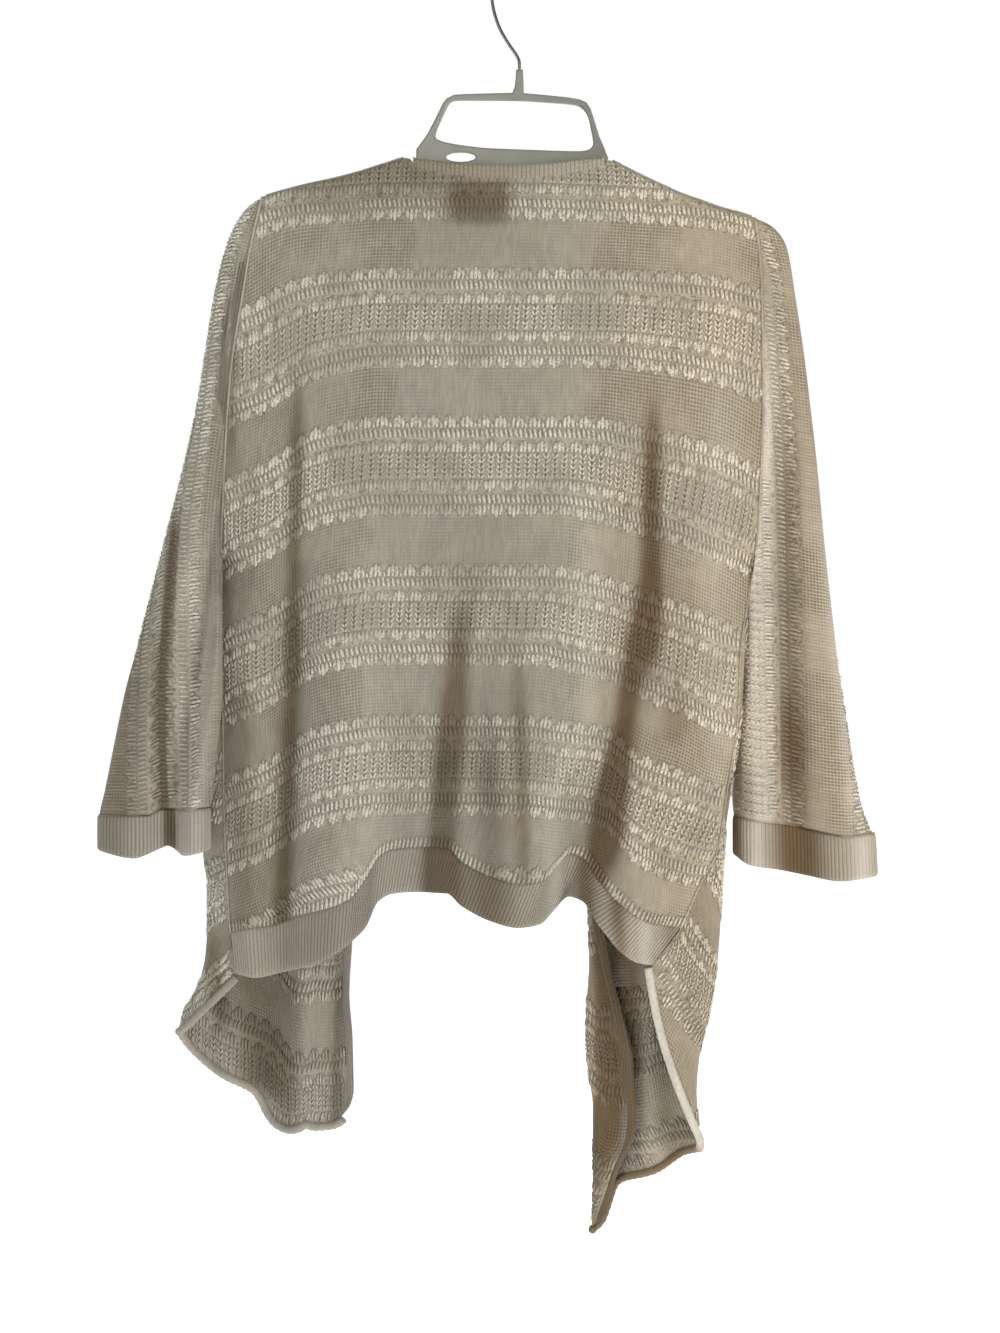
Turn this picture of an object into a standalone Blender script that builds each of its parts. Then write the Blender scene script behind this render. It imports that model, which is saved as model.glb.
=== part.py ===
"""Open-knit waterfall cardigan on a clear plastic hanger.

The garment hangs with its back towards +Y. +X is the wearer's left, which is the left
of a view from behind, and +Z is up. The origin is the top of the rod that the wire hook
hangs on. Sizes and tables are in millimetres. A table's first line names its columns.
The hanger hangs about 2 degrees off level, so the wearer's right side is the lower one.
"""

import math

import bmesh
import bpy
import numpy as np

MM = 0.001
COLLECTION = "open_knit_cardigan"

# Cloth
WALL = 2.0
GAP = 0.3
BAND_WALL = 2.5
RIB_RELIEF = 1.0
BAND_WIDTH = 9.0
BINDING_RADIUS = 2.6
LABEL_WALL = 0.8

# Body
SIDES = ("left", "right")
OUTWARD = {"left": 1.0, "right": -1.0}
UNDERARM_Z = -512.0
ARMHOLE_DEPTH = 9.0
ARMHOLE_ROUND = 30.0
SHOULDER_ROUND = 6.0
SIDE_SEAM_DEPTH = 12.0
SIDE_SEAM_TURN = 80.0
SIDE_TUCK = {"left": 0.0, "right": 12.0}
OPENING_RISE = 10.0
FIRST_TURN = 0.15
FAR_LAYER = -4.0
NECK = {"left": 96.0, "right": -76.0}
NECK_BLEND = 4.0
BACK_COLUMNS = 32
FRONT_COLUMNS = 16
BAND_FIRST_ROW = 2
SIDE_ROWS = 10
BAND_ROWS = 2
RIB_STEPS = 6
CUFF_POINTS = 96

# Shares of the way from the shoulder to the underarm, close together where the cloth turns
ARMHOLE_ROWS = (0, 0.004, 0.014, 0.035, 0.08, 0.17, 0.29, 0.42, 0.55, 0.68, 0.80, 0.90, 0.96, 0.985, 1)

# Shares of the way along a sleeve, from the armhole to the cuff
SLEEVE_STEPS = (0, 0.04, 0.1, 0.2, 0.3, 0.42, 0.54, 0.66, 0.78, 0.9, 1)

# Hanger
ROD_TO_WIRE_CENTRE = 1.4
HOOK_RADIUS = 24.3
WIRE_RADIUS = 1.4
PLASTIC_HALF = 2.3
PLASTIC_ROUND = 0.8
ARM_CLEARANCE = 0.8
ARM_POINTS = 8
ARM_TIP = {"left": (216, -211), "right": (-196, -226)}

SHOULDER_LINE = (
    # x, z
    (219, -200), (204, -195.5), (183, -190), (160, -185), (137, -179), (115, -172), (96, -167),
    (-76, -169), (-90, -175), (-104, -182), (-121, -190), (-139, -198), (-156, -204), (-173, -210),
    (-190, -214.5), (-200, -218),
)

NECK_LINE = (
    # x, z
    (96, -167), (88, -175), (76, -178.5), (55, -183), (34, -184.5), (3, -185.5), (-29, -183),
    (-50, -179), (-68, -175), (-76, -169),
)

SEAM_LINE = {
    # z, x: armhole seam down to the underarm, then the side seam
    "left": (
        (-200, 219), (-243, 229), (-285, 236), (-359, 247), (-461, 253), (-512, 255), (-600, 253),
        (-700, 252), (-760, 250), (-829, 246), (-863, 242),
    ),
    "right": (
        (-218, -200), (-250, -204), (-285, -206), (-371, -207), (-461, -204), (-512, -200),
        (-586, -188), (-647, -185), (-708, -176), (-761, -167), (-779, -157), (-810, -143),
        (-825, -136), (-856, -112),
    ),
}
SHOULDER_END = {"left": (219, -200), "right": (-200, -218)}
BACK_CORNER_Z = {"left": -829.0, "right": -825.0}
FRONT_CORNER_Z = {"left": -863.0, "right": -856.0}

HEM_SEAM = (
    # x, z
    (246, -829), (233, -825), (208, -822), (185, -813), (160, -806), (144, -799), (130, -781),
    (120, -764), (108, -758), (85, -757), (62, -757), (50, -768), (25, -780), (0, -786),
    (-17, -784), (-30, -772), (-41, -762), (-52, -765), (-66, -784), (-85, -804), (-106, -818),
    (-136, -825),
)

HEM_FOOT = (
    # x, z
    (242, -863), (224, -865), (208, -863), (189, -858), (166, -850), (145, -836), (130, -822),
    (120, -801), (108, -795), (85, -794), (62, -794), (50, -804), (25, -816), (0, -822),
    (-17, -820), (-30, -808), (-41, -797), (-52, -800), (-66, -820), (-85, -842), (-100, -853),
    (-112, -856),
)

BACK_DEPTH = (
    # z, y
    (-160, 7), (-230, 9), (-330, 13), (-450, 18), (-600, 23), (-760, 27), (-860, 28),
)

FRONT_DEPTH = (
    # z, y
    (-160, -7), (-230, -12), (-400, -19), (-512, -24), (-760, -28), (-900, -30), (-1090, -24),
)

BACK_FOLDS = (
    # x and z at the head, x and z at the foot, half width, depth towards the back
    (184, -400, 203, -840, 13, -13),
    (226, -430, 232, -850, 15, 7),
    (150, -470, 150, -850, 27, 12),
    (74, -560, 86, -800, 24, -20),
    (66, -460, 66, -620, 10, 5),
    (10, -580, 2, -800, 30, 15),
    (36, -540, 34, -700, 16, -9),
    (-50, -660, -50, -800, 19, -8),
    (-110, -370, -86, -601, 18, -13),
    (-86, -601, -52, -740, 17, -11),
    (-150, -420, -138, -640, 20, 8),
    (-100, -660, -96, -850, 20, 15),
)

FRONT_FOLDS = {
    # x and z at the head, x and z at the foot, half width, depth towards the back
    "left": (
        (182, -300, 187, -1000, 12, 9),
        (214, -420, 222, -1000, 14, -8),
        (150, -420, 163, -1000, 10, -7),
        (246, -600, 252, -960, 12, 6),
    ),
    "right": (
        (-100, -300, -112, -1030, 13, 10),
        (-140, -420, -138, -1030, 14, -8),
        (-70, -420, -82, -1030, 9, -7),
    ),
}

TURN_LINE = {
    # z, x: where a front turns round the side of the body
    "left": (
        (-512, 255), (-600, 258), (-700, 266), (-763, 272), (-785, 268), (-815, 268), (-848, 270),
        (-879, 278), (-895, 288), (-911, 292),
    ),
    "right": (
        (-512, -200), (-586, -194), (-647, -192), (-708, -184), (-761, -178), (-853, -177),
        (-897, -172), (-936, -163), (-975, -159), (-1007, -160),
    ),
}

OPENING_LINE = {
    # z, x: the opening edge, or the fold where the edge is curled back
    "left": (
        (-167, 96), (-250, 99), (-350, 112), (-450, 128), (-550, 139), (-650, 144), (-750, 146),
        (-845, 150), (-890, 152), (-930, 149), (-978, 148), (-989, 151),
    ),
    "right": (
        (-169, -76), (-250, -72), (-350, -62), (-450, -52), (-550, -49), (-650, -51), (-750, -55),
        (-853, -59), (-923, -56), (-962, -58), (-992, -62), (-1038, -62), (-1080, -61),
    ),
}

CURL = (
    # z, width of the right front's edge that is curled back, distance towards the back
    (-660, 0, 0), (-700, 0.5, 4), (-740, 1, 8), (-780, 2, 12), (-820, 5, 15), (-860, 13, 17),
    (-900, 24, 19), (-940, 33, 20), (-1000, 30, 20), (-1040, 17, 17), (-1080, 4, 10),
)

FRONT_HEM = {
    # x, z on the front's far layer, from its turn to its opening edge
    "left": (
        (292, -911), (288, -918), (278, -931), (265, -943), (252, -952), (238, -960), (228, -967),
        (221, -977), (215, -989), (208, -996), (199, -999), (190, -997), (186, -993), (178, -996),
        (166, -997), (156, -994), (151, -988),
    ),
    "right": (
        (-160, -1007), (-155, -1011), (-138, -1019), (-121, -1029), (-105, -1035), (-90, -1040),
        (-79, -1048), (-74, -1062), (-68, -1078), (-61, -1084),
    ),
}

SLEEVE_RAILS = {
    # step, inner x, inner y, inner z, outer x, outer y, outer z
    "left": (
        (0.0, 255, 0, -512, 219, 0, -200), (0.04, 257, 3, -518, 235, 0, -213),
        (0.1, 258, 8, -528, 247, 1, -233),
        (0.2, 258, 14, -550, 260, 2, -280), (0.3, 257, 19, -575, 268, 3, -330),
        (0.4, 256, 22, -598, 277, 4, -385), (0.5, 256, 24, -620, 288, 5, -435),
        (0.6, 256, 25, -641, 302, 6, -490), (0.7, 257, 25, -661, 318, 7, -553),
        (0.8, 258, 25, -681, 333, 8, -612), (0.9, 260, 25, -701, 346, 8, -672),
        (1.0, 262, 25, -721, 358, 8, -728),
    ),
    "right": (
        (0.0, -200, 0, -512, -200, 0, -218), (0.04, -202, -1, -520, -216, 0, -226),
        (0.1, -203, -2, -532, -228, 0, -243),
        (0.2, -200, -5, -556, -236, 1, -288), (0.3, -197, -8, -580, -243, 2, -335),
        (0.4, -195, -9, -603, -249, 3, -385), (0.5, -193, -10, -625, -254, 4, -430),
        (0.6, -191, -10, -646, -260, 5, -495), (0.7, -189, -10, -667, -267, 6, -560),
        (0.8, -187, -10, -688, -275, 6, -623), (0.9, -185, -9, -708, -286, 7, -688),
        (1.0, -184, -8, -729, -302, 8, -743),
    ),
}

SLEEVE_LOBES = {
    # share of the way across from the inner edge, depth towards the back at the wrist
    "left": ((0, 0), (0.14, 4), (0.31, -15), (0.44, -6), (0.68, 6), (1, 0)),
    "right": ((0, 0), (0.15, 6), (0.44, -9), (0.76, 8), (1, 0)),
}

SLEEVE_HALF = (
    # step, half thickness
    (0, 9), (0.5, 10), (1, 11),
)

CUFF_HEAD = {
    # share across from the inner edge, z
    "left": ((0, -721), (0.28, -723), (0.42, -723), (0.55, -728), (1, -728)),
    "right": ((0, -729), (0.13, -733), (0.35, -736), (0.53, -741), (0.8, -746), (1, -743)),
}

CUFF_FOOT = {
    # share across from the inner edge, z
    "left": (
        (0, -757), (0.12, -760), (0.24, -762), (0.38, -754), (0.46, -757), (0.66, -764), (1, -758),
    ),
    "right": ((0, -763), (0.1, -771), (0.3, -775), (0.5, -780), (0.72, -784), (1, -780)),
}
CUFF_ENDS = {"left": (262, 359), "right": (-183, -304)}

NECK_BAND_HEIGHT = (
    # x, height
    (-76, 4), (-62, 8), (-30, 11), (10, 12), (50, 11), (82, 8), (96, 4),
)
LABEL_SPAN = (7, 62)
LABEL_ROWS = (3, 4)

HOOK_STEM = (
    # x, z
    (24.0, -32.0), (23.1, -38.0), (21.8, -44.2), (18.2, -55.3), (13.3, -64.6), (7.7, -73.1),
    (2.6, -80.4), (0.4, -85.0), (0.4, -91.8),
)
SOCKET_TOP = -92.4
HOOK_END_ANGLE = -18.0
HOOK_START_ANGLE = 200.0

HANGER_CENTRE = (
    # x, z of the plastic's outer edge between the arms, from the left arm over the top bar
    (104, -178), (94, -180), (88.5, -177), (88.5, -160.5), (85.5, -156.5), (79, -147.5), (72, -134),
    (66, -121.5), (62.5, -117), (56.5, -114), (48, -113.3), (6.5, -112.2), (4.4, -107), (3.6, -100),
    (3.2, SOCKET_TOP), (-2.6, SOCKET_TOP), (-3.2, -104), (-3.4, -112.5), (-20, -114), (-40, -116),
    (-51, -117.8), (-57, -120.5), (-60.5, -126), (-64, -137), (-68, -150), (-72, -159), (-75.5, -168),
    (-71, -179), (-80, -182), (-92, -183),
)
HANGER_UNDERSIDE = (
    # x, z from the right arm's tip back to the left one's
    (-190, -231), (-150, -221), (-110, -208), (-78, -192), (-40, -183), (0, -180), (40, -181),
    (78, -186), (115, -196), (160, -205), (208, -214),
)
HANGER_WINDOW = (
    # x, z
    (57.5, -119), (50, -118.4), (0, -118.8), (-20, -120), (-40, -121.5), (-50, -123), (-55, -127),
    (-58.5, -133), (-61, -145), (-63, -156), (-60, -160.3), (-54, -162), (-40, -162), (0, -160.6),
    (30, -159.4), (50, -157), (64, -154.5), (72.3, -151.3), (71.5, -145), (66, -132.5), (61, -122),
)
HANGER_SLOT = (50.5, -167.0, 13.0, 4.2)

CREAM = (0.74, 0.68, 0.56)
WHITE = (0.86, 0.83, 0.76)


def blend(low, high, share):
    return low + (high - low) * share


def ease(share):
    """A smooth step from 0 to 1."""
    share = np.clip(share, 0.0, 1.0)
    return share * share * (3.0 - 2.0 * share)


def round_up(share):
    """A quarter circle from 0 up to 1."""
    share = np.clip(share, 0.0, 1.0)
    return np.sqrt(1.0 - (1.0 - share) ** 2)


def curve(table, at, column=1):
    """A smooth curve through a table's first column and another one, with no overshoot."""
    rows = np.array(sorted(table), float)
    places, values = rows[:, 0], rows[:, column]
    steps = np.diff(values) / np.diff(places)
    slopes = np.concatenate([steps[:1], np.zeros(len(places) - 2), steps[-1:]])
    same_way = steps[:-1] * steps[1:] > 0
    both = np.where(same_way, steps[:-1] + steps[1:], 1.0)
    slopes[1:-1] = np.where(same_way, 2.0 * steps[:-1] * steps[1:] / both, 0.0)
    at = np.clip(np.asarray(at, float), places[0], places[-1])
    i = np.clip(np.searchsorted(places, at, side="right") - 1, 0, len(places) - 2)
    width = places[i + 1] - places[i]
    t = (at - places[i]) / width
    return (
        (2 * t**3 - 3 * t**2 + 1) * values[i]
        + (t**3 - 2 * t**2 + t) * width * slopes[i]
        + (3 * t**2 - 2 * t**3) * values[i + 1]
        + (t**3 - t**2) * width * slopes[i + 1]
    )


def folds(table, x, z):
    """The sum of soft troughs and ridges, each along a slanting line, at x and z."""
    total = np.zeros(np.broadcast(x, z).shape)
    for head_x, head_z, foot_x, foot_z, half_width, depth in table:
        along = (head_z - z) / (head_z - foot_z)
        line_x = blend(head_x, foot_x, np.clip(along, 0.0, 1.0))
        fade = ease(along / 0.45) * ease((1.35 - along) / 0.35)
        total = total + depth * fade * np.exp(-(((x - line_x) / half_width) ** 2))
    return total


def on_neck(x):
    """1 over the neck opening and 0 on the shoulders."""
    return ease((NECK["left"] - x) / NECK_BLEND) * ease((x - NECK["right"]) / NECK_BLEND)


def top_z(x):
    """The back's top edge, along both shoulders and the neck."""
    within = (x < NECK["left"]) & (x > NECK["right"])
    return np.where(within, curve(NECK_LINE, x), curve(SHOULDER_LINE, x))


def seam_x(side, z):
    return curve(SEAM_LINE[side], z)


def seam_depth(z):
    """How far behind the middle plane the back's edge lies, on armhole and side seam."""
    armhole = ARMHOLE_DEPTH * round_up((z - UNDERARM_Z) / ARMHOLE_ROUND)
    side_seam = SIDE_SEAM_DEPTH * ease((UNDERARM_Z - z) / SIDE_SEAM_TURN)
    return np.where(z > UNDERARM_Z, armhole, side_seam)


def seam_inward(side, z, body=True):
    """The way into the cloth's thickness at a seam, the same for both pieces that meet there."""
    outward = OUTWARD[side]
    shoulder_z = SHOULDER_END[side][1]
    top = ease(1.0 - (shoulder_z - z) / SHOULDER_ROUND)
    near_underarm = ease(1.0 - (z - UNDERARM_Z) / ARMHOLE_ROUND)
    below = ease((UNDERARM_Z - z) / SIDE_SEAM_TURN)
    sideways = np.where(z > UNDERARM_Z, near_underarm, 1.0 - below)
    x = sideways * (-outward if body else outward)
    y = -(1.0 - top) * (1.0 - sideways)
    vectors = np.stack([x, y, -top], axis=-1)
    return vectors / np.linalg.norm(vectors, axis=-1, keepdims=True)


def row_heights(side):
    """Heights of the rows on one edge of the back, shoulder to hem seam."""
    armhole = blend(SHOULDER_END[side][1], UNDERARM_Z, np.array(ARMHOLE_ROWS))
    below = blend(UNDERARM_Z, BACK_CORNER_Z[side], np.arange(1, SIDE_ROWS + 1) / SIDE_ROWS)
    return np.concatenate([armhole, below])


def back_depth(x, z, share):
    """The back's distance behind the middle plane. share runs 0 to 1 from right seam to left."""
    crown = 1.0 - np.abs(2.0 * share - 1.0) ** 9
    depth = blend(seam_depth(z), curve(BACK_DEPTH, z), crown)
    depth = depth + folds(BACK_FOLDS, x, z) * ease(np.minimum(share, 1.0 - share) / 0.05)
    neck = on_neck(x)
    arch = round_up((curve(SHOULDER_LINE, x) - z) / SHOULDER_ROUND)
    return depth * blend(arch, 1.0, neck) + GAP / 2 * (1.0 - neck)


def back_points():
    """The back's outer points, rows from the top and columns from the right seam to the left."""
    share = np.linspace(0.0, 1.0, BACK_COLUMNS)[None, :]
    head = top_z(blend(SHOULDER_END["right"][0], SHOULDER_END["left"][0], share))
    corners = [seam_x(side, BACK_CORNER_Z[side]) for side in ("right", "left")]
    foot = curve(HEM_SEAM, blend(*corners, share))
    upper = blend(head, UNDERARM_Z, np.array(ARMHOLE_ROWS)[:, None])
    lower = blend(UNDERARM_Z, foot, np.arange(1, SIDE_ROWS + 1)[:, None] / SIDE_ROWS)
    z = np.concatenate([upper, lower])
    right_x = seam_x("right", row_heights("right")) + GAP / 2
    left_x = seam_x("left", row_heights("left")) - GAP / 2
    x = blend(right_x[:, None], left_x[:, None], share)
    y = back_depth(x, z, share)
    y[len(ARMHOLE_ROWS) - 1, [0, -1]] = GAP / 2
    return np.stack([x, y, z], axis=-1)


def normals(points, closed=False):
    """Unit normals of a grid of points, from its rows and columns."""
    down = np.gradient(points, axis=0)
    if closed:
        around = np.roll(points, -1, axis=1) - np.roll(points, 1, axis=1)
    else:
        around = np.gradient(points, axis=1)
    vectors = np.cross(down, around)
    return vectors / np.linalg.norm(vectors, axis=-1, keepdims=True)


def back_inward(points):
    inward = normals(points)
    inward = inward * np.where(inward[..., 1:2] > 0, -1.0, 1.0)
    inward[:, 0] = seam_inward("right", points[:, 0, 2])
    inward[:, -1] = seam_inward("left", points[:, -1, 2])
    neck = on_neck(points[0, 1:-1, 0])
    top = np.stack([np.zeros_like(neck), -neck, neck - 1.0], axis=-1)
    inward[0, 1:-1] = top / np.linalg.norm(top, axis=-1, keepdims=True)
    inward[-1] = levelled(inward[-1])
    return inward


def cut_corners(points, times=3):
    """A polyline with its corners rounded, ends kept."""
    for _ in range(times):
        near = 0.75 * points[:-1] + 0.25 * points[1:]
        far = 0.25 * points[:-1] + 0.75 * points[1:]
        middle = np.stack([near, far], axis=1).reshape(-1, points.shape[1])
        points = np.concatenate([points[:1], middle, points[-1:]])
    return points


def spaced(points, count):
    """count points at even spacing along a polyline."""
    lengths = np.concatenate([[0.0], np.cumsum(np.linalg.norm(np.diff(points, axis=0), axis=1))])
    at = np.linspace(0.0, lengths[-1], count)
    return np.stack([np.interp(at, lengths, points[:, i]) for i in range(3)], axis=-1)


def front_row(side, seam_z, fall, level):
    """One row of a front, from its seam round the body's side to the opening edge.

    fall is the share of the way from the shoulder to the underarm, and level the share of
    the way from the underarm to the hem.
    """
    seam = np.array([float(seam_x(side, seam_z)), float(seam_depth(seam_z)), seam_z])
    opening_head = OPENING_LINE[side][0][0]
    opening_foot = OPENING_LINE[side][-1][0]
    if level == 0.0:
        seam[1] = -seam[1] * float(round_up((SHOULDER_END[side][1] - seam_z) / SHOULDER_ROUND))
        opening_z = blend(opening_head, UNDERARM_Z + OPENING_RISE, fall)
        turn = seam.copy()
    else:
        opening_z = blend(UNDERARM_Z + OPENING_RISE, opening_foot, level)
        turn_z = blend(UNDERARM_Z, TURN_LINE[side][-1][0], level)
        turn = np.array([float(curve(TURN_LINE[side], turn_z)), seam[1], turn_z])
    depth = float(curve(FRONT_DEPTH, opening_z))
    rise = float(round_up((opening_head - opening_z) / SHOULDER_ROUND))
    tuck = OUTWARD[side] * SIDE_TUCK[side] * float(ease(level / 0.3))
    far_y = blend(seam[1], depth, min(1.0, FIRST_TURN + fall))
    far_turn = np.array([turn[0] - tuck, far_y, turn[2]])
    opening_x = float(curve(OPENING_LINE[side], opening_z))
    opening = np.array([opening_x, depth * rise - GAP / 2, opening_z])
    path = [seam, turn, far_turn, opening]
    if fall == 0.0:
        path = [seam, opening]
    width = float(curve(CURL, opening_z, 1))
    if side == "right" and width > 0.0:
        back_y = opening[1] + float(curve(CURL, opening_z, 2))
        path.append(np.array([opening[0], back_y, opening_z - 1.0]))
        path.append(np.array([opening[0] - width, back_y, opening_z - 3.0]))
    return spaced(cut_corners(np.array(path)), FRONT_COLUMNS)


def front_points(side):
    """A front's outer points, rows from the shoulder and columns from the seam."""
    outward = OUTWARD[side]
    heights = row_heights(side)
    more = np.linspace(BACK_CORNER_Z[side], FRONT_CORNER_Z[side], BAND_ROWS + 1)[1:]
    heights = np.concatenate([heights, more])
    last_fall = len(ARMHOLE_ROWS) - 1
    rows = []
    for i, seam_z in enumerate(heights):
        fall = ARMHOLE_ROWS[min(i, last_fall)]
        level = max(0, i - last_fall) / (len(heights) - 1 - last_fall)
        rows.append(front_row(side, seam_z, fall, level))
    points = np.array(rows)
    shoulder = points[0, :, 0]
    points[0, :, 2] = curve(SHOULDER_LINE, shoulder)
    along = (shoulder - shoulder[0]) / (shoulder[-1] - shoulder[0])
    bow = points[0, :, 2] - blend(points[0, 0, 2], points[0, -1, 2], along)
    for i in range(1, last_fall + 1):
        points[i, :, 2] += bow * (1.0 - ARMHOLE_ROWS[i]) ** 2
        arch = round_up((points[0, :, 2] - points[i, :, 2]) / SHOULDER_ROUND)
        points[i, 1:, 1] = points[i, 1:, 1] * arch[1:] - GAP / 2 * (1.0 - arch[1:])
    from_seam = ease(np.arange(FRONT_COLUMNS) / (FRONT_COLUMNS - 1) / 0.2)
    moved = folds(FRONT_FOLDS[side], points[..., 0], points[..., 2]) * from_seam
    points[..., 1] += np.where(points[..., 1] < FAR_LAYER, moved, 0.0)
    last = points[-1]
    passed = np.cumsum(last[:, 1] < 0.0) > 0
    wanted = np.where(passed, curve(FRONT_HEM[side], last[:, 0]), last[:, 2])
    below = np.maximum(0, np.arange(len(heights)) - last_fall) / (len(heights) - 1 - last_fall)
    points[..., 2] += (wanted - last[:, 2])[None, :] * (below**2)[:, None]
    points[0, :, 1] = -GAP / 2
    points[: last_fall + 1, 0, 0] -= outward * GAP / 2
    turned = ease((UNDERARM_Z - heights[last_fall:]) / SIDE_SEAM_TURN)
    points[last_fall:, 0, 0] += outward * turned * GAP / 2
    points[last_fall:, 0, 1] -= (1.0 - turned) * GAP / 2
    return points


def front_inward(side, points):
    """The way into a front's thickness, towards the hollow between front and back."""
    vectors = normals(points) * OUTWARD[side]
    heights = points[:, 0, 2]
    edge = seam_inward(side, heights)
    edge[:, 1] *= np.where(heights > UNDERARM_Z + 0.01, -1.0, 1.0)
    vectors[:, 0] = edge
    vectors[0] = (0.0, 0.0, -1.0)
    return vectors


def sleeve_ring(side, step, shares):
    """Outer points of one section of a sleeve: up its back layer, then down its front layer."""
    rails = SLEEVE_RAILS[side]
    inner = np.array([float(curve(rails, step, i)) for i in (1, 2, 3)])
    outer = np.array([float(curve(rails, step, i)) for i in (4, 5, 6)])
    along = inner + (outer - inner) * shares[:, None]
    head = blend(SHOULDER_END[side][1], UNDERARM_Z, 1.0 - shares)
    start_x = seam_x(side, head)
    if step == 0.0:
        along[:, 0] = start_x
        along[:, 2] = head
    else:
        bow = start_x - blend(start_x[0], start_x[-1], shares)
        along[:, 0] += bow * (1.0 - step) ** 3
        along[:, 2] += (curve(CUFF_HEAD[side], shares) - along[:, 2]) * ease((step - 0.8) / 0.2)
    lobes = curve(SLEEVE_LOBES[side], shares) * ease(step / 0.7)
    start_half = seam_depth(head) * round_up((SHOULDER_END[side][1] - head) / SHOULDER_ROUND)
    end_round = round_up(shares / 0.1) * round_up((1.0 - shares) / blend(0.03, 0.12, step))
    half = blend(start_half, float(curve(SLEEVE_HALF, step)) * end_round, ease(step / 0.15))
    back_layer = along + np.stack([0 * half, lobes + half, 0 * half], axis=-1)
    front_layer = along + np.stack([0 * half, lobes - half, 0 * half], axis=-1)
    return np.concatenate([back_layer, front_layer[-2:0:-1]])


def sleeve_points(side):
    """A sleeve's outer points, a row for each section from the armhole to the cuff."""
    shares = 1.0 - np.array(ARMHOLE_ROWS)[::-1]
    shares = np.sort(shares)
    rings = [sleeve_ring(side, step, shares) for step in SLEEVE_STEPS]
    points = np.array(rings)
    points[0, :, 0] += OUTWARD[side] * GAP / 2
    points[-1, :, 2] += GAP / 2
    return points


def tube_inward(points):
    """The way into the thickness of a tube of rings."""
    vectors = normals(points, closed=True)
    middle = points.mean(axis=1, keepdims=True)
    turn = np.sign(np.sum(vectors * (middle - points), axis=(1, 2)))
    return vectors * np.where(turn == 0, 1.0, turn)[:, None, None]


def levelled(vectors):
    vectors = vectors * (1.0, 1.0, 0.0)
    return vectors / np.linalg.norm(vectors, axis=-1, keepdims=True)


def sleeve_inward(side, points):
    vectors = tube_inward(points)
    count = len(ARMHOLE_ROWS)
    vectors[-1] = levelled(vectors[-1])
    start = seam_inward(side, points[0, :, 2], body=False)
    start[count:, 1] *= -1.0
    vectors[0] = start
    return vectors


def cuff_points(side):
    """A cuff's outer points, two rings of evenly spaced points with every other one raised."""
    head = sleeve_points(side)[-1]
    head = np.concatenate([head, head[:1]])
    head = spaced(head, CUFF_POINTS + 1)[:-1]
    inner_x, outer_x = CUFF_ENDS[side]
    start_x = SLEEVE_RAILS[side][-1][1]
    end_x = SLEEVE_RAILS[side][-1][4]
    across = (head[:, 0] - start_x) / (end_x - start_x)
    foot = head.copy()
    foot[:, 0] = blend(inner_x, outer_x, across)
    foot[:, 2] = curve(CUFF_FOOT[side], across)
    head[:, 2] -= GAP
    return np.stack([head, foot])


def hem_points(back, inward):
    """The hem rib's outer points and inward ways, from the back's bottom row."""
    fine = np.arange((BACK_COLUMNS - 1) * RIB_STEPS + 1) / RIB_STEPS
    columns = np.arange(BACK_COLUMNS)
    head = np.stack([np.interp(fine, columns, back[-1, :, i]) for i in range(3)], axis=-1)
    ways = np.stack([np.interp(fine, columns, inward[-1, :, i]) for i in range(3)], axis=-1)
    head[:, 2] -= GAP
    share = fine / (BACK_COLUMNS - 1)
    foot = head.copy()
    corners = [float(seam_x(side, FRONT_CORNER_Z[side])) for side in ("right", "left")]
    foot[:, 0] = blend(corners[0] + GAP / 2, corners[1] - GAP / 2, share)
    foot[:, 2] = curve(HEM_FOOT, foot[:, 0])
    return np.stack([head, foot]), np.stack([ways, ways])


def beside(edge, inward, towards):
    """Ways that lie in the cloth and square to its edge, lengthened at the edge's corners."""
    along = np.gradient(edge, axis=0)
    along /= np.linalg.norm(along, axis=-1, keepdims=True)
    ways = np.cross(along, inward)
    ways /= np.linalg.norm(ways, axis=-1, keepdims=True)
    ways *= np.sign(np.sum(ways * towards, axis=-1, keepdims=True))
    steps = np.diff(edge, axis=0)
    steps /= np.linalg.norm(steps, axis=-1, keepdims=True)
    bend = np.clip(np.sum(steps[1:] * steps[:-1], axis=-1), -0.5, 1.0)
    ways[1:-1] /= np.sqrt((1.0 + bend) / 2.0)[:, None]
    return ways


def strip_points(edge, across, width):
    """A strip beside an edge: one row along each of its long sides."""
    start = edge + across * 2 * GAP
    return np.stack([start, start + across * width[:, None]])


def named_material(name, colour, roughness, metallic=0.0, transmission=0.0):
    material = bpy.data.materials.new(name)
    material.use_nodes = True
    shader = material.node_tree.nodes["Principled BSDF"]
    shader.inputs["Base Color"].default_value = (*colour, 1.0)
    shader.inputs["Roughness"].default_value = roughness
    shader.inputs["Metallic"].default_value = metallic
    shader.inputs["Transmission Weight"].default_value = transmission
    return material


def add_object(name, data, material):
    data.materials.append(material)
    obj = bpy.data.objects.new(name, data)
    bpy.data.collections[COLLECTION].objects.link(obj)
    return obj


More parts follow.
